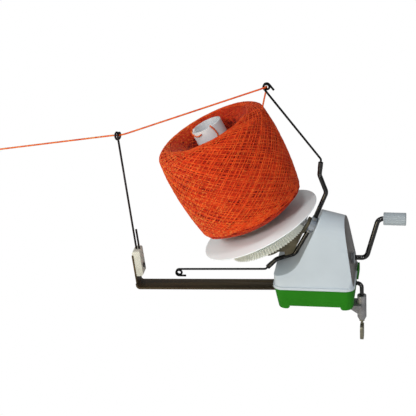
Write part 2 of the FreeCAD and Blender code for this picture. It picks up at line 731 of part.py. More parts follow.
def top_shell():
    """White housing shell with its lip, shaft openings and screw bosses."""
    shell = housing_body(0.0, BASE_HEIGHT).cut(housing_body(SHELL_WALL, BASE_HEIGHT - 1))
    lip = rounded_box(BASE_LENGTH + 2 * LIP_OUT, BASE_DEPTH + 2 * LIP_OUT,
                      BASE_HEIGHT, BASE_HEIGHT + LIP_HEIGHT, BASE_CORNER + LIP_OUT)
    hollow = rounded_box(BASE_LENGTH - 2 * SHELL_WALL, BASE_DEPTH - 2 * SHELL_WALL,
                         BASE_HEIGHT - 1, BASE_HEIGHT + LIP_HEIGHT + 1, BASE_CORNER - SHELL_WALL)
    pieces = [shell, lip.cut(hollow)]
    for x, y in corner_places(POST_X, POST_Y):
        boss = Part.makeCylinder(POST_RADIUS, SHELL_BOSS_HEIGHT, V(x, y, BASE_HEIGHT))
        web = Part.makeBox(SHELL_WALL, POST_FROM_SIDE, SHELL_BOSS_HEIGHT,
                           V(x - SHELL_WALL / 2, y if y > 0 else y - POST_FROM_SIDE, BASE_HEIGHT))
        pieces.append(boss.fuse(web).common(housing_body(SHELL_WALL / 2, BASE_HEIGHT)))
    shell = union(pieces)
    shell = shell.cut(bar(on_flyer(HUB_BACK - 1.5, 0), on_flyer(HUB_FRONT, 0), HUB_RADIUS + HUB_HOLE_PLAY))
    inner = V(end_wall_x(CRANK_HEIGHT + CRANK_RING_RADIUS) - 2 * SHELL_WALL, 0, CRANK_HEIGHT)
    shell = shell.cut(bar(inner, V(END_X + LIP_OUT, 0, CRANK_HEIGHT), CRANK_RING_RADIUS))
    for x, y in corner_places(POST_X, POST_Y):
        shell = shell.cut(Part.makeCylinder(SCREW_SHANK, SHELL_BOSS_HEIGHT - 2, V(x, y, BASE_HEIGHT)))
    return shell.cut(end_tab(GAP))


def base_screws():
    """Four screws that hold the housing down onto the tray, from below."""
    screws = []
    for x, y in corner_places(POST_X, POST_Y):
        head_low = FOOT_HEIGHT + SCREW_SINK - SCREW_HEAD_THICK
        head = Part.makeCylinder(SCREW_HEAD, SCREW_HEAD_THICK, V(x, y, head_low))
        length = BASE_HEIGHT + SHELL_BOSS_HEIGHT - 4 - head_low
        screws.append(head.fuse(Part.makeCylinder(SCREW_SHANK, length, V(x, y, head_low))))
    return Part.makeCompound(screws)


# Gear frame and what it carries
def gear_frame():
    """Cast frame that holds the crank's bearings and the flyer's shafts."""
    left_top = on_flyer(SLEEVE_BUSH_BACK, 0).z
    plate_length = FRAME_RIGHT_X + FRAME_RIGHT_THICK - FRAME_PLATE_X
    floor = Part.makeBox(plate_length, 2 * FRAME_PLATE_HALF, FRAME_THICK,
                         V(FRAME_PLATE_X, -FRAME_PLATE_HALF, FRAME_FLOOR))
    left = Part.makeBox(FRAME_POST_THICK, 2 * FRAME_HALF, left_top - FRAME_FLOOR,
                        V(FRAME_LEFT_X, -FRAME_HALF, FRAME_FLOOR))
    right_top = CRANK_HEIGHT + CRANK_BUSH_OUTER + BOSS_WALL
    right = Part.makeBox(FRAME_RIGHT_THICK, 2 * FRAME_HALF, right_top - FRAME_FLOOR,
                         V(FRAME_RIGHT_X, -FRAME_HALF, FRAME_FLOOR))
    boss = bar(on_flyer(SLEEVE_BUSH_BACK, 0), on_flyer(SLEEVE_BUSH_FRONT, 0), BUSH_OUTER + BOSS_WALL)
    beam = plate([on_flyer(TUBE_BLOCK_BACK, BEAM_LOW), on_flyer(TUBE_BLOCK_BACK, BEAM_HIGH),
                  on_flyer(SLEEVE_BUSH_FRONT, BEAM_HIGH), on_flyer(SLEEVE_BUSH_FRONT, BEAM_LOW - 2),
                  on_flyer(SLEEVE_BUSH_BACK, BEAM_LOW - 2), on_flyer(SLEEVE_BUSH_BACK, BEAM_LOW)], BEAM_HALF)
    block = plate([on_flyer(TUBE_BLOCK_BACK, -TUBE_BLOCK_BELOW), on_flyer(TUBE_BLOCK_BACK, BEAM_HIGH),
                   on_flyer(TUBE_BLOCK_FRONT, BEAM_HIGH), on_flyer(TUBE_BLOCK_FRONT, -TUBE_BLOCK_BELOW)],
                  BEAM_HALF)
    frame = union([floor, left, right, boss, beam, block])
    frame = frame.cut(bar(on_flyer(SLEEVE_BUSH_BACK, 0), on_flyer(SLEEVE_BUSH_FRONT + 1, 0), BUSH_OUTER))
    frame = frame.cut(bar(on_flyer(TUBE_BLOCK_FRONT, 0), on_flyer(SLEEVE_BUSH_BACK, 0), SLEEVE_RADIUS + 1))
    frame = frame.cut(bar(on_flyer(TUBE_BLOCK_BACK, 0), on_flyer(TUBE_BLOCK_FRONT, 0), TUBE_RADIUS))
    frame = frame.cut(bar(on_flyer(TUBE_SCREW_AT, 0), on_flyer(TUBE_SCREW_AT, BEAM_HIGH), SCREW_SHANK))
    frame = frame.cut(bar(V(FRAME_LEFT_X, 0, CRANK_HEIGHT),
                          V(FRAME_RIGHT_X + FRAME_RIGHT_THICK, 0, CRANK_HEIGHT), CRANK_BUSH_OUTER))
    for x in FRAME_FOOT_X:
        for y in (-FRAME_FOOT_Y, FRAME_FOOT_Y):
            frame = frame.cut(Part.makeCylinder(SCREW_SHANK, FRAME_THICK, V(x, y, FRAME_FLOOR)))
    return frame


def frame_screws():
    """Four screws that hold the gear frame to the tray's posts."""
    screws = []
    for x in FRAME_FOOT_X:
        for y in (-FRAME_FOOT_Y, FRAME_FOOT_Y):
            top = FRAME_FLOOR + FRAME_THICK
            head = Part.makeCylinder(SCREW_HEAD, SCREW_HEAD_THICK, V(x, y, top))
            screws.append(head.fuse(Part.makeCylinder(SCREW_SHANK, FRAME_THICK, V(x, y, FRAME_FLOOR))))
    return Part.makeCompound(screws)


def crank_bushes():
    """Two plain bushes for the crank in the frame's uprights."""
    bore = CRANK_ROD_RADIUS + FIT
    left = V(FRAME_LEFT_X, 0, CRANK_HEIGHT)
    right = V(FRAME_RIGHT_X, 0, CRANK_HEIGHT)
    return Part.makeCompound([
        tube(left, left + V(FRAME_POST_THICK, 0, 0), CRANK_BUSH_OUTER, bore),
        tube(right, right + V(FRAME_RIGHT_THICK, 0, 0), CRANK_BUSH_OUTER, bore),
    ])


def sleeve_bush():
    """Plain bush in which the flyer's sleeve turns."""
    back = on_flyer(SLEEVE_BUSH_BACK, 0)
    return tube(back, on_flyer(SLEEVE_BUSH_FRONT, 0), BUSH_OUTER, SLEEVE_RADIUS + FIT)


def crank_ring():
    """Grey ring that lines the crank's hole in the housing."""
    wall = V(end_wall_x(CRANK_HEIGHT), 0, CRANK_HEIGHT)
    outside = wall + V(CRANK_RING_OUT, 0, 0)
    bore = CRANK_ROD_RADIUS + GAP
    ring = tube(wall - V(SHELL_WALL + 1, 0, 0), outside, CRANK_RING_RADIUS, bore)
    flange = tube(outside - V(CRANK_RING_FLANGE, 0, 0), outside, CRANK_RING_RADIUS + 2, bore)
    return ring.fuse(flange).removeSplitter()


def fixed_tube():
    """Tube that stands still inside the flyer's sleeve and carries the spool."""
    return tube(on_flyer(TUBE_BLOCK_BACK, 0), on_flyer(TUBE_END, 0), TUBE_RADIUS, ROD_RADIUS + FIT)


def tube_set_screw():
    """Set screw that holds the fixed tube in the frame."""
    return bar(on_flyer(TUBE_SCREW_AT, TUBE_RADIUS), on_flyer(TUBE_SCREW_AT, BEAM_HIGH), SCREW_SHANK)


def spindle_carrier():
    """Casting clamped to the fixed tube, which reaches under the ring gear to the spindle."""
    collar = bar(on_flyer(COLLAR_BACK, 0), on_flyer(COLLAR_FRONT, 0), CARRIER_HALF_WIDTH)
    arm = plate([
        on_flyer(COLLAR_BACK, 0),
        on_flyer(COLLAR_FRONT, 0),
        carrier_point(CARRIER_TOP, COLLAR_FRONT),
        on_spool(CARRIER_TOP, 0),
        on_spool(CARRIER_BOTTOM - CARRIER_RIB, 0),
    ] + [on_flyer(along, out) for along, out in SKIRT], CARRIER_HALF_WIDTH)
    boss = bar(on_spool(CARRIER_TOP, 0), on_spool(CARRIER_TOP - BOSS_DEPTH, 0), BOSS_RADIUS)
    carrier = union([collar, arm, boss])
    carrier = carrier.cut(bar(on_flyer(COLLAR_BACK - 1, 0), on_flyer(COLLAR_FRONT + 1, 0), TUBE_RADIUS))
    carrier = carrier.cut(bar(on_spool(CARRIER_TOP - BOSS_DEPTH + 2, 0), on_spool(CARRIER_TOP, 0),
                              SPINDLE_RADIUS))
    screw_start = on_spool(CARRIER_TOP - BOSS_DEPTH / 2, -SPINDLE_RADIUS)
    screw_end = on_spool(CARRIER_TOP - BOSS_DEPTH / 2, -BOSS_RADIUS)
    return carrier.cut(bar(screw_start, screw_end, SCREW_SHANK))


def carrier_point(height, along):
    """Point in the XZ plane at a height on the spool and a station on the flyer axis."""
    from_apex = FLANGE_BELOW_APEX - height
    sigma = math.radians(SPOOL_SHAFT_ANGLE)
    out = (APEX_AT - along - from_apex * math.cos(sigma)) / math.sin(sigma)
    return on_spool(height, out)


def carrier_screw():
    """Set screw that holds the spindle in the carrier."""
    middle = CARRIER_TOP - BOSS_DEPTH / 2
    return bar(on_spool(middle, -SPINDLE_RADIUS), on_spool(middle, -BOSS_RADIUS), SCREW_SHANK)


def spindle():
    """Steel spindle that the spool turns on, with a groove for its clip."""
    low = CARRIER_TOP - BOSS_DEPTH + 2
    pin = bar(on_spool(low, 0), on_spool(SPINDLE_TOP, 0), SPINDLE_RADIUS)
    groove_low = SPOOL_HUB_TOP + GAP
    groove = tube(on_spool(groove_low, 0), on_spool(groove_low + CLIP_THICK, 0),
                  SPINDLE_RADIUS + 1, SPINDLE_RADIUS - 1)
    return pin.cut(groove)


def spindle_clip():
    """Open snap ring above the spool's hub."""
    low = SPOOL_HUB_TOP + GAP
    ring = tube(on_spool(low, 0), on_spool(low + CLIP_THICK, 0), SPINDLE_RADIUS + 2.5, SPINDLE_RADIUS - 1)
    opening = plate([on_spool(low - 1, 0), on_spool(low + CLIP_THICK + 1, 0),
                     on_spool(low + CLIP_THICK + 1, 10), on_spool(low - 1, 10)], SPINDLE_RADIUS - 1.5)
    return ring.cut(opening)


# Spool and ball
def spool_flange():
    """White disc with a thin rim, a slightly coned top and the hub under it."""
    points = [
        (SPINDLE_RADIUS + FIT, HUB_UNDER),
        (SPOOL_HUB_RADIUS, HUB_UNDER),
        (SPOOL_HUB_RADIUS, -FLANGE_RIM - FLANGE_CONE),
        (FLANGE_RADIUS - 6, -FLANGE_RIM),
        (FLANGE_RADIUS, -FLANGE_RIM / 2),
        (FLANGE_RADIUS, 0.0),
        (CORE_RADIUS, FLANGE_DISH),
        (SPINDLE_RADIUS + FIT, FLANGE_DISH),
    ]
    return lathe(points, FLANGE_CENTRE, SPOOL_DIR, SPOOL_OUT)


def ring_gear():
    """White toothed ring under the flange, driven by the small pinion."""
    gear = bevel_gear(RING_TEETH, RING_MODULE, RING_CONE, RING_FACE, APEX, SPOOL_DIR, SPOOL_OUT, False)
    hollow = lathe([(0.0, RING_BOTTOM - 1), (RING_BORE, RING_BOTTOM - 1), (RING_BORE, RING_TOP - RING_WEB),
                    (SPOOL_HUB_RADIUS, RING_TOP - RING_WEB), (SPOOL_HUB_RADIUS, RING_TOP + 1),
                    (0.0, RING_TOP + 1)], FLANGE_CENTRE, SPOOL_DIR, SPOOL_OUT)
    return gear.cut(hollow)


def spool_core():
    """White tube in the middle of the ball, notched to catch the yarn's end."""
    core = tube(on_spool(FLANGE_DISH, 0), on_spool(CORE_TOP, 0), CORE_RADIUS, CORE_RADIUS - CORE_WALL)
    bridge = tube(on_spool(SPOOL_HUB_TOP - CORE_BRIDGE, 0), on_spool(SPOOL_HUB_TOP, 0),
                  CORE_RADIUS - CORE_WALL / 2, SPINDLE_RADIUS + FIT)
    outside = -CORE_RADIUS - 1
    notch = plate([on_spool(CORE_TOP - CORE_NOTCH, outside), on_spool(CORE_TOP + 1, outside),
                   on_spool(CORE_TOP + 1, 0), on_spool(CORE_TOP - CORE_NOTCH, 0)], CORE_NOTCH_HALF)
    return core.fuse(bridge).removeSplitter().cut(notch)


def yarn_ball():
    """Ball of yarn round the core, barrel-shaped with a hollow round the core's top."""
    def spot(place):
        return V(place[1], 0, place[0])

    inner = CORE_RADIUS + GAP
    low = V(inner, 0, BALL_BOTTOM)
    foot = V(BALL_FOOT_RADIUS, 0, BALL_BOTTOM)
    hollow = spot(BALL_HOLLOW)
    rim = V(inner, 0, BALL_HOLLOW[0] - 2)

    def bowed(start, end, bow):
        middle = (start + end) * 0.5
        across = V(end.z - start.z, 0, start.x - end.x).normalize()
        return Part.Arc(start, middle + across * bow, end).toShape()

    shoulder = spot(BALL_SHOULDER)
    belly = spot(BALL_BELLY)
    top = spot(BALL_TOP)
    crest = spot(BALL_CREST)
    outline = Part.Wire([
        Part.LineSegment(low, foot).toShape(),
        bowed(foot, shoulder, BALL_FOOT_BOW),
        bowed(shoulder, belly, BALL_SIDE_BOW),
        bowed(belly, top, BALL_TOP_BOW),
        bowed(top, crest, BALL_CREST_BOW),
        bowed(crest, hollow, BALL_HOLLOW_BOW),
        Part.LineSegment(hollow, rim).toShape(),
        Part.LineSegment(rim, low).toShape(),
    ])
    return revolve(outline, FLANGE_CENTRE, SPOOL_DIR, SPOOL_OUT)


# Flyer
def flyer_sleeve():
    """Hollow shaft that carries the flyer and turns round the fixed tube."""
    return tube(on_flyer(FLYER_PINION_BACK, 0), on_flyer(HUB_FRONT, 0), SLEEVE_RADIUS, TUBE_RADIUS + FIT)


def flyer_pinion():
    """Small bevel pinion on the sleeve, driven by the crank's gear."""
    gear = bevel_gear(FLYER_TEETH, CRANK_MODULE, FLYER_PINION_CONE, FLYER_PINION_FACE,
                      CRANK_APEX, FLYER_DIR * -1, FLYER_OUT * -1, False)
    return gear.cut(bar(on_flyer(FLYER_PINION_BACK - 1, 0), on_flyer(0, 0), SLEEVE_RADIUS))


def flyer_hub():
    """Grey hub on the sleeve, with a socket for each arm."""
    body = bar(on_flyer(HUB_BACK, 0), on_flyer(HUB_FRONT, 0), HUB_RADIUS)
    sockets = [bar(mirrored(ARM_ROOT, side), on_flyer(ARM_ROOT[0], side * HUB_SOCKET_OUT), HUB_SOCKET_RADIUS)
               for side in (-1, 1)]
    hub = union([body] + sockets)
    hub = hub.cut(bar(on_flyer(HUB_BACK, 0), on_flyer(HUB_FRONT, 0), SLEEVE_RADIUS))
    for side in (-1, 1):
        hub = hub.cut(flyer_arm(side))
        hub = hub.cut(hub_screw(side))
    return hub


def mirrored(place, side):
    """Point on one of the flyer's two arms."""
    return on_flyer(place[0], side * place[1])


def flyer_arm(side):
    """Bent black rod of the flyer, drilled at its tip for the wire."""
    points = [mirrored(place, side) for place in (ARM_ROOT, ARM_KNEE, ARM_ELBOW, ARM_TIP)]
    arm = rod(points, ARM_RADIUS, ARM_BEND)
    last = (points[3] - points[2]).normalize()
    ferrule = bar(points[3] - last * FERRULE_LENGTH, points[3], FERRULE_RADIUS)
    arm = union([arm, ferrule])
    return arm.cut(bar(points[3] - last * WIRE_SOCKET, points[3], FLYER_WIRE_RADIUS))


def hub_screw(side):
    """Grub screw that holds an arm in its socket."""
    start = on_flyer(ARM_ROOT[0], side * HUB_SCREW_OUT, -ARM_RADIUS)
    return bar(start, on_flyer(ARM_ROOT[0], side * HUB_SCREW_OUT, -HUB_SOCKET_RADIUS - 0.4), HUB_SCREW_RADIUS)


def wire_eye(centre, heading, across, wire_radius, coil_sizes):
    """Coiled eye with its short tail, and the point where the straight wire meets it.

    The wire comes in along heading and meets the coil on the side that across points at.
    """
    radius, turns, pitch, tail_length = coil_sizes
    height = pitch * turns
    turned = 2 * math.pi * turns
    end = V(radius * math.cos(turned), height / 2, -radius * math.sin(turned))
    leave = V(-math.sin(turned), 0, -math.cos(turned))
    coil = helix_eye(V(0, 0, 0), radius, wire_radius, turns, pitch)
    tail = bar(end - leave * EYE_OVERLAP, end + leave * tail_length, wire_radius)
    eye = union([coil, tail])
    back = heading * -1
    turn = FreeCAD.Rotation(across, back.cross(across), back, "ZXY")
    eye.Placement = FreeCAD.Placement(centre, turn)
    start = centre + turn.multVec(V(radius, -height / 2, 0))
    return eye, start


def flyer_wire(side):
    """Thin wire from an arm's tip to the coiled eye that lays the yarn."""
    elbow = mirrored(ARM_ELBOW, 1)
    tip = mirrored(ARM_TIP, 1)
    last = (tip - elbow).normalize()
    bend = tip + last * WIRE_STRAIGHT
    centre = mirrored(FLYER_EYE, 1)
    heading = (centre - bend).normalize()
    eye, start = wire_eye(centre, heading, heading.cross(DEPTH_DIR), FLYER_WIRE_RADIUS, FLYER_COIL)
    reach = start + (start - bend).normalize() * EYE_OVERLAP
    straight = rod([tip - last * WIRE_SOCKET, bend, reach], FLYER_WIRE_RADIUS, WIRE_BEND)
    wire = union([straight, eye])
    if side < 0:
        wire.rotate(HUB_POINT, FLYER_DIR, 180)
    return wire


def drive_rod():
    """Rod through the fixed tube that drives the spool's pinion."""
    return bar(on_flyer(ROD_PINION_BACK, 0), on_flyer(SPOOL_PINION_FRONT, 0), ROD_RADIUS)


def rod_pinion():
    """Bevel pinion on the rear end of the drive rod, in mesh with the crank's gear."""
    module = CRANK_MODULE * ROD_PINION_DISTANCE / CRANK_APEX_DISTANCE
    gear = bevel_gear(FLYER_TEETH, module, FLYER_PINION_CONE, ROD_PINION_FACE,
                      CRANK_APEX, FLYER_DIR * -1, FLYER_OUT * -1, False)
    return gear.cut(bar(on_flyer(ROD_PINION_BACK - 1, 0), on_flyer(ROD_PINION_FRONT + 1, 0), ROD_RADIUS))


def spool_pinion():
    """Small bevel pinion on the front end of the drive rod, in mesh with the ring gear."""
    gear = bevel_gear(SPOOL_PINION_TEETH, RING_MODULE, SPOOL_PINION_CONE, RING_FACE,
                      APEX, FLYER_DIR, FLYER_OUT * -1, True)
    return gear.cut(bar(on_flyer(SPOOL_PINION_BACK - 1, 0), on_flyer(SPOOL_PINION_FRONT + 1, 0), ROD_RADIUS))


# Crank
def crank_gear():
    """Large bevel gear on the crank, with a hub for its cross pin."""
    gear = bevel_gear(CRANK_TEETH, CRANK_MODULE, CRANK_CONE, CRANK_GEAR_FACE,
                      CRANK_APEX, V(1, 0, 0), V(0, 0, 1), True)
    small_x = CRANK_GEAR_FACE_X + CRANK_GEAR_FACE * math.cos(CRANK_CONE)
    hub = bar(V(small_x - 1, 0, CRANK_HEIGHT), V(FRAME_RIGHT_X - GAP, 0, CRANK_HEIGHT), CRANK_HUB_RADIUS)
    gear = union([gear, hub])
    recess = tube(V(CRANK_GEAR_FACE_X - 1, 0, CRANK_HEIGHT),
                  V(CRANK_GEAR_FACE_X + CRANK_GEAR_RECESS, 0, CRANK_HEIGHT),
                  CRANK_GEAR_RECESS_RADIUS, CRANK_HUB_RADIUS)
    gear = gear.cut(recess).cut(crank_pin())
    return gear.cut(bar(V(CRANK_START_X, 0, CRANK_HEIGHT), V(CRANK_OUT_X, 0, CRANK_HEIGHT), CRANK_ROD_RADIUS))


def crank_pin():
    """Cross pin through the crank gear's hub and the crank rod."""
    at = V(CRANK_PIN_X, -CRANK_HUB_RADIUS, CRANK_HEIGHT)
    return bar(at, at + V(0, 2 * CRANK_HUB_RADIUS, 0), PIN_RADIUS)


def crank_rod():
    """Bent black rod: the crank's shaft, its arm and the grip's axle."""
    high = CRANK_HEIGHT + CRANK_THROW
    points = [
        V(CRANK_START_X, 0, CRANK_HEIGHT),
        V(CRANK_OUT_X, 0, CRANK_HEIGHT),
        V(CRANK_RUN_X, 0, high),
        V(GRIP_START_X + GRIP_LENGTH - GRIP_CLOSED, 0, high),
    ]
    return rod(points, CRANK_ROD_RADIUS, CRANK_BEND).cut(crank_pin())


def crank_collar():
    """Spacer ring between the left bush and the crank gear."""
    start = V(FRAME_LEFT_X + FRAME_POST_THICK + GAP, 0, CRANK_HEIGHT)
    return tube(start, V(CRANK_GEAR_FACE_X, 0, CRANK_HEIGHT), CRANK_HUB_RADIUS - 1, CRANK_ROD_RADIUS)


def grip():
    """Ribbed grip that spins on the crank's end."""
    high = CRANK_HEIGHT + CRANK_THROW
    start = V(GRIP_START_X, 0, high)
    end = V(GRIP_START_X + GRIP_LENGTH, 0, high)
    body = bar(start, end, GRIP_RADIUS)
    rims = [e for e in body.Edges if e.Closed]
    body = body.makeFillet(GRIP_ROUND, rims)
    grooves = []
    for i in range(GRIP_RIBS):
        angle = 2 * math.pi * i / GRIP_RIBS
        across = V(0, math.cos(angle), math.sin(angle)) * (GRIP_RADIUS + GRIP_GROOVE - GRIP_RIB_DEPTH)
        inset = V(GRIP_PLAIN_END, 0, 0)
        grooves.append(bar(start + across + inset, end + across - inset, GRIP_GROOVE))
    body = body.cut(grooves)
    bore_end = end - V(GRIP_CLOSED - GAP, 0, 0)
    body = body.cut(bar(start, bore_end, CRANK_ROD_RADIUS + FIT))
    ring_start = V(GRIP_RING_X - GAP, 0, high)
    ring_end = V(GRIP_RING_X + WASHER_THICK + GAP, 0, high)
    return body.cut(bar(ring_start, ring_end, GRIP_RING_RADIUS + GAP))


def grip_ring():
    """Snap ring on the crank's end that keeps the grip on."""
    start = V(GRIP_RING_X, 0, CRANK_HEIGHT + CRANK_THROW)
    return tube(start, start + V(WASHER_THICK, 0, 0), GRIP_RING_RADIUS, CRANK_ROD_RADIUS)


# Guide
def guide_bar():
    """Flat steel strip that reaches out from the base and is bent up at its end."""
    start = on_bar(-BAR_INSIDE, 0)
    path = path_wire([start, on_bar(BAR_OUTSIDE, 0), on_upright(UPRIGHT_HEIGHT, 0)], BAR_BEND)
    half = BAR_WIDTH / 2
    thick = BAR_THICK / 2
    corners = [on_bar(-BAR_INSIDE, -thick, -half), on_bar(-BAR_INSIDE, -thick, half),
               on_bar(-BAR_INSIDE, thick, half), on_bar(-BAR_INSIDE, thick, -half)]
    strip = path.makePipeShell([Part.makePolygon(corners + corners[:1])], True, False)
    upright_trim = []
    for side in (-1, 1):
        middle = side * (UPRIGHT_WIDTH / 2 + BAR_WIDTH / 2)
        outline = [on_upright(BAR_BEND + 2, -4), on_upright(BAR_BEND + 2, 4),
                   on_upright(UPRIGHT_HEIGHT + 1, 4), on_upright(UPRIGHT_HEIGHT + 1, -4)]
        upright_trim.append(plate(outline, BAR_WIDTH / 2, middle))
    strip = strip.cut(upright_trim)
    strip = strip.cut(bar(on_upright(CLIP_SCREW_AT, -4), on_upright(CLIP_SCREW_AT, 4), SCREW_SHANK))
    return strip.cut(bar(on_bar(-BAR_SCREW_IN, -4), on_bar(-BAR_SCREW_IN, 4), SCREW_SHANK))


def bar_screw():
    """Screw that holds the guide bar down in the base."""
    seat = on_bar(-BAR_SCREW_IN, BAR_THICK / 2)
    up = (on_bar(0, 1) - on_bar(0, 0)).normalize()
    head = bar(seat, seat + up * SCREW_HEAD_THICK, SCREW_HEAD)
    return head.fuse(bar(seat - up * BAR_SCREW_LENGTH, seat + up, SCREW_SHANK)).removeSplitter()


def guide_clip():
    """White plastic block on the bar's upright end that holds the guide wire."""
    face = BAR_THICK / 2
    strip_end = UPRIGHT_HEIGHT + GAP
    top = CLIP_LIFT + CLIP_HEIGHT
    outline = [on_upright(CLIP_LIFT, face),
               on_upright(CLIP_LIFT, face_across() - CLIP_CHAMFER),
               on_upright(CLIP_LIFT + CLIP_CHAMFER, face_across()),
               on_upright(top - CLIP_EDGE, face_across()),
               on_upright(top, face_across() - CLIP_EDGE),
               on_upright(top, face),
               on_upright(top - CLIP_CHAMFER, -CLIP_CAP),
               on_upright(strip_end, -CLIP_CAP),
               on_upright(strip_end, face)]
    block = plate(outline, CLIP_WIDTH / 2).cut(rod(wire_legs(), GUIDE_WIRE_RADIUS, wire_turn()))
    return block.cut(bar(on_upright(CLIP_SCREW_AT, 0), on_upright(CLIP_SCREW_AT, face_across()), SCREW_SHANK))


def clip_screw():
    """Screw through the clip into the bar's upright end."""
    seat = face_across()
    outside = on_upright(CLIP_SCREW_AT, seat + SCREW_HEAD_THICK)
    head = bar(on_upright(CLIP_SCREW_AT, seat), outside, SCREW_HEAD)
    shank = bar(on_upright(CLIP_SCREW_AT, -BAR_THICK / 2), on_upright(CLIP_SCREW_AT, seat + 1), SCREW_SHANK)
    return head.fuse(shank).removeSplitter()


def face_across():
    """How far the clip's outer face stands from the middle of the upright."""
    return BAR_THICK / 2 + CLIP_DEPTH


def wire_legs():
    """The guide wire's two legs inside the clip, from its short end round to its bend."""
    low = CLIP_LIFT + WIRE_TURN_AT
    return [on_upright(CLIP_LIFT + CLIP_HEIGHT + WIRE_RETURN, WIRE_ACROSS + WIRE_SPACING),
            on_upright(low, WIRE_ACROSS + WIRE_SPACING),
            on_upright(low, WIRE_ACROSS),
            on_upright(CLIP_LIFT + CLIP_HEIGHT + WIRE_BEND_UP, WIRE_ACROSS)]


def wire_turn():
    """Radius of the guide wire's U-turn."""
    return WIRE_SPACING / 2 - 0.01


def guide_wire():
    """Tall wire with a coiled eye, turned back on itself inside the clip."""
    legs = wire_legs()
    centre = guide_eye()
    heading = (centre - legs[2]).normalize()
    across = guide_axis().cross(V(0, 0, 1))
    eye, start = wire_eye(centre, heading, across, GUIDE_WIRE_RADIUS, GUIDE_COIL)
    end = start + (start - legs[3]).normalize() * EYE_OVERLAP
    return union([rod(legs + [end], GUIDE_WIRE_RADIUS, wire_turn()), eye])


def guide_eye():
    """Centre of the guide wire's eye, on the flyer's axis."""
    return on_flyer(GUIDE_EYE_AT, 0)


def guide_axis():
    """Unit vector along the guide eye's coil, the way that the yarn goes through it."""
    yaw = math.radians(GUIDE_EYE_YAW)
    return V(math.sin(yaw), -math.cos(yaw), 0)


# Table clamp
def clamp_hook():
    """Black hook from the base's end wall down into the jaw, drilled for the screw."""
    start = V(END_X - TRAY_WALL - HOOK_BOSS_LENGTH + 1, 0, HOOK_TOP_Z)
    low = V(HOOK_X, 0, JAW_TOP_Z - HOOK_IN_JAW)
    hook = rod([start, V(HOOK_X, 0, HOOK_TOP_Z), low], HOOK_RADIUS, HOOK_BEND)
    hook = hook.cut(bar(low, low + V(0, 0, HOOK_BORE_DEPTH), SCREW_RADIUS + FIT))
    return hook.cut(hook_pin())


def hook_pin():
    """Cross pin that keeps the hook in the base's boss."""
    low = HOOK_TOP_Z - HOOK_RADIUS - BOSS_WALL
    return bar(V(HOOK_PIN_X, 0, low), V(HOOK_PIN_X, 0, HOOK_TOP_Z + HOOK_RADIUS + BOSS_WALL), PIN_RADIUS)


def clamp_jaw():
    """Grey sleeve with the jaw pad that presses the table from below, and its gusset."""
    body = lathe([(0.0, JAW_BOTTOM_Z), (JAW_END_RADIUS, JAW_BOTTOM_Z),
                  (JAW_RADIUS, JAW_BOTTOM_Z + JAW_END_TAPER),
                  (JAW_RADIUS, JAW_TOP_Z), (0.0, JAW_TOP_Z)], V(HOOK_X, 0, 0), V(0, 0, 1), V(1, 0, 0))
    pad_low = JAW_PAD_Z - JAW_PAD_THICK
    pad = Part.makeBox(JAW_PAD_REACH, 2 * JAW_PAD_HALF, JAW_PAD_THICK,
                       V(HOOK_X - JAW_PAD_REACH, -JAW_PAD_HALF, pad_low))
    rib = plate([V(HOOK_X - JAW_RIB_REACH, 0, pad_low), V(HOOK_X, 0, pad_low), V(HOOK_X, 0, JAW_RIB_LOW)],
                JAW_RIB_HALF)
    jaw = union([body, pad, rib])
    jaw = jaw.cut(bar(V(HOOK_X, 0, JAW_BOTTOM_Z + JAW_FLOOR), V(HOOK_X, 0, JAW_TOP_Z), HOOK_RADIUS + FIT))
    return jaw.cut(bar(V(HOOK_X, 0, JAW_BOTTOM_Z), V(HOOK_X, 0, JAW_TOP_Z), SCREW_RADIUS + FIT))


def clamp_screw():
    """Screw with a flat paddle that draws the jaw up along the hook."""
    tip = JAW_TOP_Z - HOOK_IN_JAW + SCREW_TIP_IN_HOOK
    shank = bar(V(HOOK_X, 0, PADDLE_TOP_Z), V(HOOK_X, 0, tip), SCREW_RADIUS)
    collar_top = V(HOOK_X, 0, JAW_BOTTOM_Z - GAP)
    collar = bar(collar_top - V(0, 0, COLLAR_THICK), collar_top, COLLAR_RADIUS)
    paddle = Part.makeBox(PADDLE_THICK, PADDLE_WIDTH, PADDLE_TOP_Z - PADDLE_BOTTOM_Z,
                          V(HOOK_X - PADDLE_THICK / 2, -PADDLE_WIDTH / 2, PADDLE_BOTTOM_Z))
    sides = [e for e in paddle.Edges if abs(e.Vertexes[0].X - e.Vertexes[-1].X) > 1e-6]
    paddle = paddle.makeFillet(PADDLE_WIDTH / 2 - 1, sides)
    return union([shank, collar, paddle])


# Yarn on its way
def yarn_guide_end(side):
    """Point beside the guide's eye where the yarn turns into it (-1) or out of it (1)."""
    rise = YARN_GUIDE_RISE[0] if side < 0 else YARN_GUIDE_RISE[1]
    return guide_eye() + guide_axis() * side * YARN_EYE_SIDE + V(0, 0, rise)


def yarn_feed():
    """Taut yarn from beyond the left of the guide through the guide's eye, with its end knot."""
    far = V(YARN_FAR_X, 0, YARN_FAR_Z)
    strand = rod([far, yarn_guide_end(-1), yarn_guide_end(1), yarn_handover()], YARN_RADIUS, YARN_BEND)
    return union([strand, Part.makeSphere(YARN_KNOT_RADIUS, far)])


def yarn_handover():
    """Point just past the guide's eye where the turning stretch of yarn begins."""
    leave = yarn_guide_end(1)
    towards = (flyer_eye_entry() - leave).normalize()
    return leave + towards * YARN_PAST_EYE


def flyer_eye_entry():
    """Point in front of the upper flyer eye where the yarn turns into it."""
    return mirrored(FLYER_EYE, 1) + V(-YARN_EYE_TURN, -YARN_EYE_SIDE, YARN_EYE_DROP)


def flyer_eye_exit():
    """Point behind the upper flyer eye where the yarn turns down to the ball."""
    return mirrored(FLYER_EYE, 1) + V(0, YARN_EYE_SIDE, -YARN_EYE_DROP)


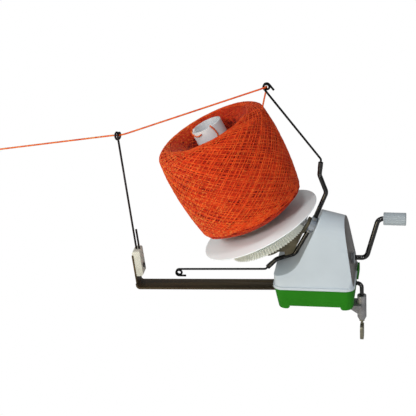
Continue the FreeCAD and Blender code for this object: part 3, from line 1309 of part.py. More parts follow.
def yarn_run():
    """Taut yarn from the guide's eye through the flyer's upper eye to the ball."""
    on_ball = on_spool(YARN_LANDING[0], YARN_LANDING[1], YARN_LAND_DEPTH)
    return rod([yarn_handover(), flyer_eye_entry(), flyer_eye_exit(), on_ball], YARN_RADIUS, YARN_BEND)


save(base_tray(), "base_tray")
save(base_screws(), "base_screws")
save(top_shell(), "top_shell")
save(gear_frame(), "gear_frame")
save(frame_screws(), "frame_screws")
save(crank_bushes(), "crank_bushes")
save(sleeve_bush(), "sleeve_bush")
save(crank_ring(), "crank_ring")
save(fixed_tube(), "fixed_tube")
save(tube_set_screw(), "tube_set_screw")
save(spindle_carrier(), "spindle_carrier")
save(carrier_screw(), "carrier_screw")
save(spindle(), "spindle")
save(spindle_clip(), "spindle_clip")
save(spool_flange(), "spool_flange")
save(ring_gear(), "ring_gear")
save(spool_core(), "spool_core")
save(yarn_ball(), "yarn_ball")
save(flyer_sleeve(), "flyer_sleeve")
save(flyer_pinion(), "flyer_pinion")
save(flyer_hub(), "flyer_hub")
save(Part.makeCompound([hub_screw(1), hub_screw(-1)]), "hub_screws")
save(flyer_arm(1), "flyer_arm_upper")
save(flyer_arm(-1), "flyer_arm_lower")
save(flyer_wire(1), "flyer_wire_upper")
save(flyer_wire(-1), "flyer_wire_lower")
save(drive_rod(), "drive_rod")
save(rod_pinion(), "rod_pinion")
save(spool_pinion(), "spool_pinion")
save(crank_gear(), "crank_gear")
save(crank_pin(), "crank_pin")
save(crank_rod(), "crank_rod")
save(crank_collar(), "crank_collar")
save(grip(), "grip")
save(grip_ring(), "grip_ring")
save(guide_bar(), "guide_bar")
save(bar_screw(), "bar_screw")
save(guide_clip(), "guide_clip")
save(clip_screw(), "clip_screw")
save(guide_wire(), "guide_wire")
save(clamp_hook(), "clamp_hook")
save(hook_pin(), "hook_pin")
save(clamp_jaw(), "clamp_jaw")
save(clamp_screw(), "clamp_screw")
save(yarn_feed(), "yarn_feed")
save(yarn_run(), "yarn_run")
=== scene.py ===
"""Looks of the yarn ball winder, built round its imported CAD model, in metres."""
import json
import math

import bpy
from mathutils import Matrix, Vector


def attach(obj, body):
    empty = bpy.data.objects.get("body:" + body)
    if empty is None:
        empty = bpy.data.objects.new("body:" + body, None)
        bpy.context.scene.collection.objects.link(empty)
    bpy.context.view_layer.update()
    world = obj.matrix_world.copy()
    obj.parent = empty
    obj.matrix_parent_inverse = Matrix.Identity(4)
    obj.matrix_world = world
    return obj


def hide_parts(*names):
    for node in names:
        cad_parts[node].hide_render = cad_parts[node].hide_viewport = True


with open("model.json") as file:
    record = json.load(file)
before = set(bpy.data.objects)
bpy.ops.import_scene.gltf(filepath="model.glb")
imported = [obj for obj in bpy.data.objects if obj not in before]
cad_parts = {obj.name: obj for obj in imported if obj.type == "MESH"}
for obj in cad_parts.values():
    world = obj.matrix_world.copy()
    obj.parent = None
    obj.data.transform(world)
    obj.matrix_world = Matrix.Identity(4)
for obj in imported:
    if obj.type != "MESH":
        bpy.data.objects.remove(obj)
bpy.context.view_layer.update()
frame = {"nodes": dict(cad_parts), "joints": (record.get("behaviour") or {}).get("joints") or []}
nodes = frame["nodes"]
scene = bpy.context.scene
joints = {joint["name"]: joint for joint in frame["joints"]}

# Camera
AIM = Vector((-0.1296, 0.0, 0.1147))
AZIMUTH = math.radians(11.07)
ELEVATION = math.radians(25.26)
ROLL = math.radians(-3.33)
DISTANCE = 1.711
LENS = 122.37


def place_camera():
    """Camera at the photograph's viewing angle."""
    out = Vector((math.sin(AZIMUTH) * math.cos(ELEVATION),
                  -math.cos(AZIMUTH) * math.cos(ELEVATION), math.sin(ELEVATION)))
    side = Vector((math.cos(AZIMUTH), math.sin(AZIMUTH), 0.0))
    up = out.cross(side)
    right = side * math.cos(ROLL) + up * math.sin(ROLL)
    top = up * math.cos(ROLL) - side * math.sin(ROLL)
    data = bpy.data.cameras.new("camera")
    data.lens = LENS
    data.sensor_width = 36.0
    data.clip_end = 20.0
    camera = bpy.data.objects.new("camera", data)
    scene.collection.objects.link(camera)
    turn = Matrix((right, top, out)).transposed().to_4x4()
    camera.matrix_world = Matrix.Translation(AIM + out * DISTANCE) @ turn
    scene.camera = camera


place_camera()

# Axes and places, as in the CAD source
FLYER_DIR = Vector(joints["flyer_turn"]["axis"])
SPOOL_DIR = Vector(joints["spool_turn"]["axis"])
HUB_POINT = Vector(joints["flyer_turn"]["pos_m"])
FLANGE_CENTRE = Vector(joints["spool_turn"]["pos_m"])
FLYER_OUT = Vector((FLYER_DIR.z, 0.0, -FLYER_DIR.x))
SPOOL_OUT = Vector((SPOOL_DIR.z, 0.0, -SPOOL_DIR.x))
DEPTH_DIR = Vector((0.0, 1.0, 0.0))
GUIDE_EYE = HUB_POINT + FLYER_DIR * 0.2575
GUIDE_YAW = math.radians(71.0)
GUIDE_AXIS = Vector((math.sin(GUIDE_YAW), -math.cos(GUIDE_YAW), 0.0))
FLYER_EYE = HUB_POINT + FLYER_DIR * 0.1221 + FLYER_OUT * 0.1367


def on_spool(height, out, turn=0.0):
    """Point at a height above the flange, out from the spool's axis at an angle round it."""
    across = SPOOL_OUT * math.cos(turn) + DEPTH_DIR * math.sin(turn)
    return FLANGE_CENTRE + SPOOL_DIR * height + across * out


# Making and finishing pieces
def alone(piece):
    """Make one piece the only one selected, and active."""
    bpy.ops.object.select_all(action="DESELECT")
    piece.select_set(True)
    bpy.context.view_layer.objects.active = piece


def settle(piece):
    """Put a piece's place into its mesh."""
    alone(piece)
    bpy.ops.object.transform_apply(location=True, rotation=True, scale=True)


def smooth(piece, angle=35.0):
    """Shade a piece smooth except at its sharp edges."""
    alone(piece)
    bpy.ops.object.shade_smooth_by_angle(angle=math.radians(angle))


def apply_all(piece):
    """Apply every modifier of a piece."""
    alone(piece)
    for modifier in list(piece.modifiers):
        bpy.ops.object.modifier_apply(modifier=modifier.name)


def fitted(piece, name, body, finish):
    """Name a finished piece, give it its body and material."""
    piece.name = name
    piece.data.name = name
    piece.data.materials.clear()
    piece.data.materials.append(finish)
    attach(piece, body)


def eased_copy(node, width=0.0004, segments=2, angle=30.0):
    """Copy of a CAD node with its sharp edges eased and its round faces smooth."""
    original = nodes[node]
    piece = original.copy()
    piece.data = original.data.copy()
    piece.parent = None
    for key in list(piece.keys()):
        del piece[key]
    scene.collection.objects.link(piece)
    alone(piece)
    bpy.ops.object.mode_set(mode="EDIT")
    bpy.ops.mesh.select_all(action="SELECT")
    bpy.ops.mesh.remove_doubles(threshold=0.00001)
    bpy.ops.mesh.dissolve_limited(angle_limit=math.radians(1.0))
    bpy.ops.object.mode_set(mode="OBJECT")
    if width:
        bevel = piece.modifiers.new("eased", "BEVEL")
        bevel.width = width
        bevel.segments = segments
        bevel.limit_method = "ANGLE"
        bevel.angle_limit = math.radians(angle)
        bevel.use_clamp_overlap = True
        apply_all(piece)
    smooth(piece)
    return piece


# Materials
def new_material(name):
    """Empty node material with its Principled shader and Object coordinates."""
    made = bpy.data.materials.new(name)
    made.use_nodes = True
    tree = made.node_tree
    shader = tree.nodes["Principled BSDF"]
    place = tree.nodes.new("ShaderNodeTexCoord").outputs["Object"]
    return made, tree, shader, place


def noise(tree, place, scale, detail=3.0, stretch=None):
    """Noise on Object coordinates, drawn out along an axis where stretch says so."""
    if stretch:
        mapping = tree.nodes.new("ShaderNodeMapping")
        mapping.inputs["Scale"].default_value = stretch
        tree.links.new(place, mapping.inputs["Vector"])
        place = mapping.outputs["Vector"]
    texture = tree.nodes.new("ShaderNodeTexNoise")
    texture.inputs["Scale"].default_value = scale
    texture.inputs["Detail"].default_value = detail
    tree.links.new(place, texture.inputs["Vector"])
    return texture.outputs["Fac"]


def ramp(tree, source, stops):
    """Colour ramp over a value, from (position, colour) stops."""
    node = tree.nodes.new("ShaderNodeValToRGB")
    elements = node.color_ramp.elements
    while len(elements) < len(stops):
        elements.new(0.5)
    for element, (position, colour) in zip(elements, stops):
        element.position = position
        element.color = (*colour, 1.0)
    tree.links.new(source, node.inputs["Fac"])
    return node.outputs["Color"]


def remap(tree, source, low, high):
    """Value stretched from 0 to 1 onto low to high."""
    node = tree.nodes.new("ShaderNodeMapRange")
    node.inputs["To Min"].default_value = low
    node.inputs["To Max"].default_value = high
    tree.links.new(source, node.inputs["Value"])
    return node.outputs["Result"]


def bump(tree, shader, source, strength, distance):
    """Bump on the shader's normal."""
    node = tree.nodes.new("ShaderNodeBump")
    node.inputs["Strength"].default_value = strength
    node.inputs["Distance"].default_value = distance
    tree.links.new(source, node.inputs["Height"])
    tree.links.new(node.outputs["Normal"], shader.inputs["Normal"])


def shade(colour, factor):
    """Colour made lighter or darker."""
    return tuple(min(1.0, channel * factor) for channel in colour)


def plastic(name, colour, rough, spread=0.06, grain=900.0, relief=0.00002, coat=0.0, specular=0.5):
    """Moulded plastic with a faint mottle and moulding grain."""
    made, tree, shader, place = new_material(name)
    mottle = noise(tree, place, 28.0, 4.0)
    tint = ramp(tree, mottle, [(0.3, shade(colour, 1 - spread)), (0.7, shade(colour, 1 + spread))])
    tree.links.new(tint, shader.inputs["Base Color"])
    tree.links.new(remap(tree, noise(tree, place, 120.0), rough - 0.05, rough + 0.08),
                   shader.inputs["Roughness"])
    shader.inputs["Specular IOR Level"].default_value = specular
    shader.inputs["Coat Weight"].default_value = coat
    shader.inputs["Coat Roughness"].default_value = 0.12
    bump(tree, shader, noise(tree, place, grain, 2.0), 0.3, relief)
    return made


def metal(name, colour, rough, metallic=1.0, mottle=0.15, grain=400.0, relief=0.00004, stretch=None):
    """Metal or painted metal with uneven polish and small marks."""
    made, tree, shader, place = new_material(name)
    shader.inputs["Metallic"].default_value = metallic
    cloud = noise(tree, place, 60.0, 5.0, stretch)
    tint = ramp(tree, cloud, [(0.3, shade(colour, 1 - mottle)), (0.7, shade(colour, 1 + mottle))])
    tree.links.new(tint, shader.inputs["Base Color"])
    tree.links.new(remap(tree, noise(tree, place, grain / 2, 4.0, stretch), rough - 0.08, rough + 0.14),
                   shader.inputs["Roughness"])
    bump(tree, shader, noise(tree, place, grain, 3.0, stretch), 0.35, relief)
    return made


def enamel_with_painted_glints(name):
    """Glossy black enamel, uneven, with small bright painted glints that stand in for highlights."""
    made, tree, shader, place = new_material(name)
    black = (0.004, 0.004, 0.004)
    painted_glint_grey = (0.5, 0.5, 0.5)
    # Painted highlights: grey specks in the base colour stand in for glints of light on the black
    marks = ramp(tree, noise(tree, place, 260.0, 3.0), [(0.68, black), (0.75, painted_glint_grey)])
    tree.links.new(marks, shader.inputs["Base Color"])
    tree.links.new(remap(tree, noise(tree, place, 200.0), 0.05, 0.14), shader.inputs["Roughness"])
    bump(tree, shader, noise(tree, place, 160.0, 2.0), 0.25, 0.0003)
    return made


def yarn_fibre(name, dark, light, gold):
    """Wool yarn between two tones, with golden fibres and a painted warm highlight: the golden fibres grow
    denser on the side at low x and low z.
    """
    made, tree, shader, place = new_material(name)
    shader.inputs["Roughness"].default_value = 0.8
    shader.inputs["Sheen Weight"].default_value = 0.08
    shader.inputs["Sheen Roughness"].default_value = 0.4
    shader.inputs["Specular IOR Level"].default_value = 0.12
    tint = ramp(tree, noise(tree, place, 90.0, 3.0), [(0.32, dark), (0.66, light)])
    mix = tree.nodes.new("ShaderNodeMix")
    mix.data_type = "RGBA"
    mix.inputs[7].default_value = (*gold, 1.0)
    tree.links.new(tint, mix.inputs[6])
    spots = ramp(tree, noise(tree, place, 380.0, 2.0), [(0.48, (0, 0, 0)), (0.70, (0.8, 0.8, 0.8))])
    # Painted highlight: the share of golden fibres rises towards low x and low z, a warm lit side fixed to
    # the piece
    painted_light_side = tree.nodes.new("ShaderNodeVectorMath")
    painted_light_side.operation = "DOT_PRODUCT"
    painted_light_side.inputs[1].default_value = (-0.85, 0.0, -0.52)
    tree.links.new(place, painted_light_side.inputs[0])
    painted_light_mask = tree.nodes.new("ShaderNodeMapRange")
    painted_light_mask.inputs["From Min"].default_value = -0.01
    painted_light_mask.inputs["From Max"].default_value = 0.055
    painted_light_mask.inputs["To Min"].default_value = 0.3
    painted_light_mask.inputs["To Max"].default_value = 1.0
    tree.links.new(painted_light_side.outputs["Value"], painted_light_mask.inputs["Value"])
    share = tree.nodes.new("ShaderNodeMath")
    share.operation = "MULTIPLY"
    tree.links.new(spots, share.inputs[0])
    tree.links.new(painted_light_mask.outputs["Result"], share.inputs[1])
    tree.links.new(share.outputs["Value"], mix.inputs[0])
    tree.links.new(mix.outputs[2], shader.inputs["Base Color"])
    bump(tree, shader, noise(tree, place, 1500.0, 3.0), 0.3, 0.0002)
    return made


GREEN = plastic("green_moulding", (0.014, 0.175, 0.004), 0.6, specular=0.15)
WHITE_SHELL = plastic("pale_gloss_moulding", (0.54, 0.61, 0.66), 0.3, 0.03, coat=0.8)
# Dark grey painted shade for the housing's crank-end face, which lies in shade; the moulding itself is
# pale
PAINTED_SHADE_END_FACE = plastic("painted_shade_end_moulding", (0.085, 0.075, 0.07), 0.4, 0.1, coat=0.2)
WHITE_SPOOL = plastic("spool_moulding", (0.88, 0.94, 0.95), 0.45, 0.04)
WHITE_CORE = plastic("core_moulding", (0.66, 0.67, 0.69), 0.45, 0.06)
WHITE_RING = plastic("ring_moulding", (0.84, 0.85, 0.77), 0.5, 0.05)
CLIP_CREAM = plastic("cream_moulding", (0.58, 0.58, 0.50), 0.5, 0.14)
GRIP_GREY = plastic("grip_moulding", (0.34, 0.39, 0.42), 0.35, 0.06, coat=0.5)
GEAR_WHITE = plastic("gear_moulding", (0.7, 0.7, 0.66), 0.5)
RING_GREY = plastic("ring_grey_moulding", (0.3, 0.32, 0.34), 0.5)
BLACK = enamel_with_painted_glints("black_enamel")
STEEL = metal("bright_steel", (0.45, 0.45, 0.45), 0.3)
SCREW_STEEL = metal("screw_steel", (0.3, 0.3, 0.3), 0.4)
DARK_SCREW = metal("dark_screw_steel", (0.08, 0.07, 0.07), 0.4)
WIRE = metal("dark_chrome_wire", (0.012, 0.012, 0.012), 0.2, relief=0.00001)
GUIDE_WIRE = metal("guide_wire_steel", (0.03, 0.025, 0.025), 0.28, relief=0.00001)
HUB_GREY = metal("hub_alloy", (0.46, 0.51, 0.60), 0.4, 0.2, 0.45, 900.0, 0.0004)
CAST = metal("grey_casting", (0.27, 0.27, 0.28), 0.5, 0.5, 0.25, 500.0, 0.0002)
FRAME_CAST = metal("frame_casting", (0.4, 0.4, 0.4), 0.5)
# Dark olive painted shade for the spindle carrier, which lies in shade under the spool
PAINTED_SHADE_OLIVE = metal("olive_casting", (0.11, 0.095, 0.06), 0.6, 0.2, 0.5, 700.0, 0.0003)
STRIP = metal("brown_steel_strip", (0.060, 0.040, 0.015), 0.45, 0.5, 0.8, 300.0, 0.0001, (0.04, 1.0, 1.0))
BRONZE = metal("bush_bronze", (0.4, 0.28, 0.12), 0.35)
PADDLE = metal("paddle_steel", (0.22, 0.21, 0.16), 0.4)
YARN = yarn_fibre("orange_wool", (0.40, 0.016, 0.003), (0.58, 0.034, 0.006), (0.78, 0.20, 0.03))
# Darker copy of the wool for the sunk strands: painted shade deeper in the winding
YARN_SUNK_PAINTED_SHADE = yarn_fibre("sunk_painted_shade_wool", (0.20, 0.004, 0.002), (0.32, 0.010, 0.003), (0.40, 0.04, 0.01))
# Lighter copy of the wool for the outermost strands: painted light on the top of the winding
YARN_OUTER_PAINTED_LIGHT = yarn_fibre("outer_painted_light_wool", (0.58, 0.034, 0.004), (0.76, 0.072, 0.010), (0.85, 0.34, 0.07))
# Very dark copy of the wool for the ball's body: painted shade in the gaps between strands
YARN_BODY_PAINTED_SHADE = yarn_fibre("body_painted_shade_wool", (0.09, 0.002, 0.001), (0.20, 0.006, 0.002), (0.22, 0.02, 0.005))
YARN_RUN = yarn_fibre("running_wool", (0.55, 0.035, 0.006), (0.80, 0.14, 0.02), (0.85, 0.42, 0.10))

FINISHES = {
    "base_tray": (GREEN, "base", "green_plastic", 0.0012),
    "top_shell": (WHITE_SHELL, "base", "light_plastic", 0.0012),
    "base_screws": (SCREW_STEEL, "base", "steel_screw", 0.0002),
    "gear_frame": (FRAME_CAST, "base", "cast_frame", 0.0004),
    "frame_screws": (SCREW_STEEL, "base", "steel_screw", 0.0002),
    "crank_bushes": (BRONZE, "base", "bronze", 0.0002),
    "sleeve_bush": (BRONZE, "base", "bronze", 0.0002),
    "crank_ring": (RING_GREY, "base", "grey_ring", 0.0004),
    "fixed_tube": (STEEL, "base", "steel", 0.0001),
    "tube_set_screw": (SCREW_STEEL, "base", "steel_screw", 0.0002),
    "spindle_carrier": (PAINTED_SHADE_OLIVE, "base", "olive_casting", 0.0008),
    "carrier_screw": (SCREW_STEEL, "base", "steel_screw", 0.0002),
    "spindle": (STEEL, "base", "steel", 0.0002),
    "spindle_clip": (STEEL, "base", "steel", 0.0001),
    "clamp_hook": (BLACK, "base", "black_metal", 0.0002),
    "hook_pin": (STEEL, "base", "steel", 0.0001),
    "guide_bar": (STRIP, "base", "brown_strip", 0.0003),
    "bar_screw": (SCREW_STEEL, "base", "steel_screw", 0.0002),
    "guide_clip": (CLIP_CREAM, "base", "white_clip", 0.0006),
    "clip_screw": (DARK_SCREW, "base", "dark_screw", 0.0004),
    "guide_wire": (GUIDE_WIRE, "base", "guide_wire_steel", 0.0),
    "crank_rod": (BLACK, "crank", "black_metal", 0.0),
    "crank_collar": (STEEL, "crank", "steel", 0.0002),
    "crank_gear": (GEAR_WHITE, "crank", "gear_plastic", 0.0),
    "crank_pin": (STEEL, "crank", "steel", 0.0001),
    "grip_ring": (STEEL, "crank", "steel", 0.0001),
    "grip": (GRIP_GREY, "grip", "grip_plastic", 0.0),
    "flyer_sleeve": (STEEL, "flyer", "steel", 0.0002),
    "flyer_pinion": (STEEL, "flyer", "steel_gear", 0.0),
    "flyer_hub": (HUB_GREY, "flyer", "grey_hub", 0.0005),
    "hub_screws": (SCREW_STEEL, "flyer", "steel_screw", 0.0001),
    "flyer_arm_upper": (BLACK, "flyer", "black_metal", 0.0),
    "flyer_arm_lower": (BLACK, "flyer", "black_metal", 0.0),
    "flyer_wire_upper": (WIRE, "flyer", "chrome_wire", 0.0),
    "flyer_wire_lower": (WIRE, "flyer", "chrome_wire", 0.0),
    "drive_rod": (STEEL, "drive", "steel", 0.0002),
    "rod_pinion": (STEEL, "drive", "steel_gear", 0.0),
    "spool_pinion": (STEEL, "drive", "steel_gear", 0.0),
    "spool_flange": (WHITE_SPOOL, "spool", "white_plastic", 0.0006),
    "ring_gear": (WHITE_RING, "spool", "white_plastic", 0.0),
    "spool_core": (WHITE_CORE, "spool", "white_plastic", 0.0004),
    "clamp_jaw": (CAST, "jaw", "grey_casting", 0.0006),
    "clamp_screw": (PADDLE, "screw", "paddle_metal", 0.0004),
}


def dress_frame():
    """Eased and finished copies of the hard CAD pieces."""
    for node, (finish, body, slot, width) in FINISHES.items():
        piece = eased_copy(node, width)
        fitted(piece, node + "_finished", body, finish)
        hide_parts(node)


dress_frame()


def paint_shade_on_end_face():
    """The housing's crank-end face in a dark painted shade, with the eased edge left pale."""
    shell = bpy.data.objects["top_shell_finished"]
    shell.data.materials.append(PAINTED_SHADE_END_FACE)
    for face in shell.data.polygons:
        above_lip = face.center.z > 0.031
        crank_side = face.center.x > 0.03 and face.normal.x > 0.97
        # Painted shade: the large crank-end faces above the lip take the dark second material
        if above_lip and crank_side and face.area > 0.0001:
            face.material_index = 1


paint_shade_on_end_face()


# Running yarn
YARN_RADIUS = 0.001
EYE_HALF_WIDTH = 0.0047
STRAIGHT_LEAD = 0.012
HANDOVER_REACH = 0.011
KNOT_RADIUS = 0.003


def cord_curve(name, points, radius):
    """Smooth round strand along a NURBS route."""
    data = bpy.data.curves.new(name, "CURVE")
    data.dimensions = "3D"
    data.resolution_u = 12
    data.bevel_depth = radius
    data.bevel_resolution = 3
    data.use_fill_caps = True
    spline = data.splines.new("NURBS")
    spline.points.add(len(points) - 1)
    for target, point in zip(spline.points, points):
        target.co = (*point, 1.0)
    spline.order_u = 3
    spline.use_endpoint_u = True
    piece = bpy.data.objects.new(name, data)
    scene.collection.objects.link(piece)
    return piece


YARN_FAR = Vector((-0.394, 0.0, 0.1856))
FEED_IN = GUIDE_EYE - GUIDE_AXIS * EYE_HALF_WIDTH + Vector((0.0, 0.0, 0.0004))
FEED_OUT = GUIDE_EYE + GUIDE_AXIS * EYE_HALF_WIDTH + Vector((0.0, 0.0, 0.0017))
EYE_IN = FLYER_EYE + Vector((-0.001, -EYE_HALF_WIDTH, 0.0005))
EYE_OUT = FLYER_EYE + Vector((0.0, EYE_HALF_WIDTH, -0.0005))
HANDOVER = FEED_OUT + (EYE_IN - FEED_OUT).normalized() * HANDOVER_REACH
ON_BALL = on_spool(0.1308, 0.0692) + DEPTH_DIR * 0.002


def along(start, end, distance):
    """Point on the way from start to end."""
    return start + (end - start).normalized() * distance


def hang_yarn():
    """The two taut stretches of yarn."""
    lead = along(FEED_IN, YARN_FAR, STRAIGHT_LEAD)
    feed = cord_curve("yarn_feed_strand", [YARN_FAR, lead, FEED_IN, FEED_OUT, HANDOVER], YARN_RADIUS)
    fitted(feed, "yarn_feed_strand", "base", YARN_RUN)
    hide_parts("yarn_feed")
    bpy.ops.mesh.primitive_uv_sphere_add(segments=16, ring_count=10, radius=KNOT_RADIUS, location=YARN_FAR)
    knot = bpy.context.object
    settle(knot)
    smooth(knot)
    fitted(knot, "yarn_end_knot", "base", YARN_RUN)
    before_eye = along(EYE_IN, HANDOVER, STRAIGHT_LEAD)
    after_eye = along(EYE_OUT, ON_BALL, STRAIGHT_LEAD)
    run = cord_curve("yarn_run_strand", [HANDOVER, before_eye, EYE_IN, EYE_OUT, after_eye, ON_BALL],
                     YARN_RADIUS)
    fitted(run, "yarn_run_strand", "flyer", YARN_RUN)
    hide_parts("yarn_run")


hang_yarn()


# Ball, as (radius, height above the flange), from its foot over the crest into the hollow
BALL_CORNERS = [(0.026, 0.005), (0.0636, 0.0226), (0.0707, 0.086), (0.0681, 0.1295), (0.050, 0.1354),
                (0.024, 0.108)]
BALL_BOWS = [0.0006, 0.0016, 0.001, 0.0026, 0.004]


def ball_profile():
    """Points close together along the ball's outer line, with their distance along it."""
    points = []
    for (start, end), bow in zip(zip(BALL_CORNERS, BALL_CORNERS[1:]), BALL_BOWS):
        run = Vector((end[0] - start[0], end[1] - start[1]))
        out = Vector((run.y, -run.x)).normalized()
        for step in range(12):
            share = step / 12
            spot = Vector(start) + run * share + out * (4 * bow * share * (1 - share))
            points.append(spot)
    points.append(Vector(BALL_CORNERS[-1]))
    lengths = [0.0]
    for before, after in zip(points, points[1:]):
        lengths.append(lengths[-1] + (after - before).length)
    return points, lengths


PROFILE, PROFILE_LENGTHS = ball_profile()
PROFILE_LENGTH = PROFILE_LENGTHS[-1]


def on_profile(distance):
    """Radius, height and outward normal at a distance along the ball's outer line."""
    distance = min(max(distance, 0.0), PROFILE_LENGTH - 1e-6)
    low, high = 0, len(PROFILE_LENGTHS) - 1
    while high - low > 1:
        middle = (low + high) // 2
        if PROFILE_LENGTHS[middle] <= distance:
            low = middle
        else:
            high = middle
    share = (distance - PROFILE_LENGTHS[low]) / (PROFILE_LENGTHS[high] - PROFILE_LENGTHS[low])
    run = PROFILE[high] - PROFILE[low]
    spot = PROFILE[low] + run * share
    return spot, Vector((run.y, -run.x)).normalized()


def on_ball(distance, turn, proud):
    """Point on the ball's surface, standing proud of it."""
    spot, out = on_profile(distance)
    spot = spot + out * proud
    return on_spool(spot.y, spot.x, turn)


WRAP_STEPS = 72
STRAND_RADIUS = 0.0006
CORE_STRAND_RADIUS = 0.0008


def wound_strands(name, wraps, lobes, centre, tilt, proud, finish):
    """Criss-cross wraps of yarn: tilted loops that creep once round the ball in lobes + 0.618 wraps."""
    data = bpy.data.curves.new(name, "CURVE")
    data.dimensions = "3D"
    data.bevel_depth = STRAND_RADIUS
    data.bevel_resolution = 1
    spline = data.splines.new("POLY")
    count = wraps * WRAP_STEPS
    spline.points.add(count - 1)
    creep = 2 * math.pi / (lobes + 0.618)
    for i in range(count):
        wrap = i / WRAP_STEPS
        turn = 2 * math.pi * wrap
        drift = 0.0007 * math.sin(wrap * 0.83) + 0.0005 * math.sin(wrap * 5.1 + turn)
        swing = tilt + 0.0014 * math.sin(wrap * 1.7)
        distance = centre + drift + swing * math.cos(turn - creep * wrap)
        lift = proud + 0.0002 * math.sin(wrap * 2.3 + turn)
        spline.points[i].co = (*on_ball(distance, turn, lift), 1.0)
    piece = bpy.data.objects.new(name, data)
    scene.collection.objects.link(piece)
    alone(piece)
    bpy.ops.object.convert(target="MESH")
    piece = bpy.context.object
    settle(piece)
    for face in piece.data.polygons:
        face.use_smooth = True
    fitted(piece, name, "spool", finish)


def core_strand(name, route):
    """Bit of the yarn's inner end that lies against the core, by height, radius and angle."""
    points = [on_spool(height, radius, turn) for height, radius, turn in route]
    piece = cord_curve(name, points, CORE_STRAND_RADIUS)
    alone(piece)
    bpy.ops.object.convert(target="MESH")
    piece = bpy.context.object
    settle(piece)
    fitted(piece, name, "spool", YARN_RUN)


# Ball's body, sunk a little under its strands, dark as painted shade between them
BODY_BORE = 0.0193
BODY_FOOT = 0.0052
BODY_HOLLOW = 0.106
SUNK_RADIUS = 0.0011
SUNK_HEIGHT = 0.0005


def ball_body():
    """Body under the strands in a deep red painted shade, for the shade between strands, spun round the
    spool's axis.
    """
    bpy.ops.mesh.primitive_plane_add(size=0.01)
    piece = bpy.context.object
    bpy.ops.object.mode_set(mode="EDIT")
    bpy.ops.mesh.select_all(action="SELECT")
    bpy.ops.mesh.delete(type="VERT")
    bpy.ops.object.mode_set(mode="OBJECT")
    line = [(BODY_BORE, BODY_FOOT)]
    for spot in PROFILE[::3] + [PROFILE[-1]]:
        radius = max(BODY_BORE, spot.x - SUNK_RADIUS)
        height = max(BODY_FOOT, spot.y - SUNK_HEIGHT)
        line.append((radius, height))
    line.append((BODY_BORE, BODY_HOLLOW))
    points = [on_spool(height, radius) for radius, height in line]
    piece.data.from_pydata(points, [(i, i + 1) for i in range(len(points) - 1)], [])
    alone(piece)
    bpy.ops.object.mode_set(mode="EDIT")
    bpy.ops.mesh.select_all(action="SELECT")
    bpy.ops.mesh.spin(steps=96, angle=2 * math.pi, center=FLANGE_CENTRE, axis=SPOOL_DIR)
    bpy.ops.mesh.select_all(action="SELECT")
    bpy.ops.mesh.remove_doubles(threshold=0.00005)
    bpy.ops.mesh.normals_make_consistent(inside=False)
    bpy.ops.object.mode_set(mode="OBJECT")
    smooth(piece, 60.0)
    fitted(piece, "ball_body", "spool", YARN_BODY_PAINTED_SHADE)
    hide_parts("yarn_ball")


ball_body()
wound_strands("ball_strands_foot", 64, 9, 0.062, 0.042, 0.0001, YARN)
wound_strands("ball_strands_crest", 120, 9, 0.135, 0.048, -0.0004, YARN)
wound_strands("ball_strands_hollow", 90, 9, 0.184, 0.021, -0.0002, YARN)
# Sunk strands in the darker wool, as painted shade under the outer strands
wound_strands("ball_strands_deep", 120, 8, 0.096, 0.058, -0.0005, YARN_SUNK_PAINTED_SHADE)
wound_strands("ball_strands_inner", 76, 9, 0.100, 0.052, 0.0001, YARN)
# Outermost strands in the lighter wool, as painted light on the top strands
wound_strands("ball_strands_outer", 76, 8, 0.106, 0.060, 0.0007, YARN_OUTER_PAINTED_LIGHT)
core_strand("inner_end_curl", [(0.1425, 0.0185, -2.9), (0.1405, 0.0200, -2.6), (0.1375, 0.0200, -2.3),
                               (0.1365, 0.0200, -2.0), (0.1385, 0.0200, -1.75)])
core_strand("inner_end_strand", [(0.139, 0.0158, -0.9), (0.1426, 0.0172, -1.0), (0.1426, 0.0195, -1.05),
                                 (0.139, 0.0200, -0.95), (0.130, 0.0200, -0.85), (0.120, 0.0200, -1.05),
                                 (0.112, 0.0200, -1.4), (0.106, 0.0200, -1.65)])


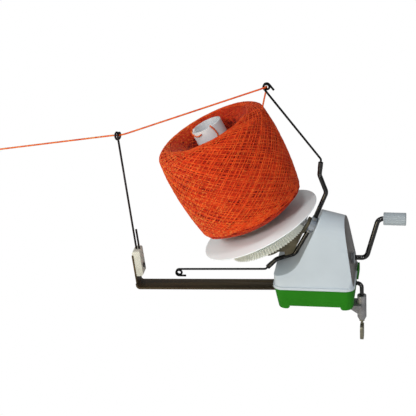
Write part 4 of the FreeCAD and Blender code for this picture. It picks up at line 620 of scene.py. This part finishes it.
# Stage and light
def plain(name, colour):
    """Pale matt finish that the camera sees as plain white."""
    made, tree, shader, place = new_material(name)
    shader.inputs["Roughness"].default_value = 0.9
    shader.inputs["Base Color"].default_value = (*colour, 1.0)
    paths = tree.nodes.new("ShaderNodeLightPath")
    glow = tree.nodes.new("ShaderNodeEmission")
    glow.inputs["Color"].default_value = (1.0, 1.0, 1.0, 1.0)
    mix = tree.nodes.new("ShaderNodeMixShader")
    tree.links.new(paths.outputs["Is Camera Ray"], mix.inputs["Fac"])
    tree.links.new(shader.outputs["BSDF"], mix.inputs[1])
    tree.links.new(glow.outputs["Emission"], mix.inputs[2])
    tree.links.new(mix.outputs["Shader"], tree.nodes["Material Output"].inputs["Surface"])
    return made


def set_stage():
    """Pale floor, well below the hanging clamp."""
    bpy.ops.mesh.primitive_plane_add(size=8.0, location=(0.0, 0.0, -0.35))
    floor = bpy.context.object
    floor.name = "floor"
    settle(floor)
    floor.data.materials.append(plain("pale_floor", (0.8, 0.8, 0.8)))


def add_light(name, place, size, power, aim=(-0.06, 0.0, 0.1), colour=(1.0, 1.0, 1.0)):
    """Square soft light that faces a point."""
    data = bpy.data.lights.new(name, "AREA")
    data.energy = power
    data.size = size
    data.color = colour
    light = bpy.data.objects.new(name, data)
    scene.collection.objects.link(light)
    light.location = place
    light.rotation_euler = (Vector(place) - Vector(aim)).to_track_quat("Z", "Y").to_euler()


def light_scene():
    """Lamps at the upper front left, far left, above, low left and right, in a pale world."""
    world = bpy.data.worlds.new("pale_world")
    scene.world = world
    world.use_nodes = True
    tree = world.node_tree
    background = tree.nodes["Background"]
    background.inputs["Color"].default_value = (1.0, 1.0, 1.0, 1.0)
    paths = tree.nodes.new("ShaderNodeLightPath")
    strength = tree.nodes.new("ShaderNodeMapRange")
    strength.inputs["To Min"].default_value = 0.26
    strength.inputs["To Max"].default_value = 1.0
    tree.links.new(paths.outputs["Is Camera Ray"], strength.inputs["Value"])
    tree.links.new(strength.outputs["Result"], background.inputs["Strength"])
    add_light("key", (-0.65, -1.5, 0.95), 0.3, 11.5)
    add_light("upper_left", (-1.4, -0.7, 1.1), 0.5, 6.0)
    add_light("overhead", (-0.25, -0.6, 1.5), 0.2, 3.0)
    add_light("low_left", (-1.0, -1.2, -0.2), 0.5, 6.0, colour=(1.0, 0.84, 0.55))
    add_light("right", (1.1, -1.3, 0.5), 0.3, 6.0)


set_stage()
light_scene()
scene.view_settings.view_transform = "Standard"
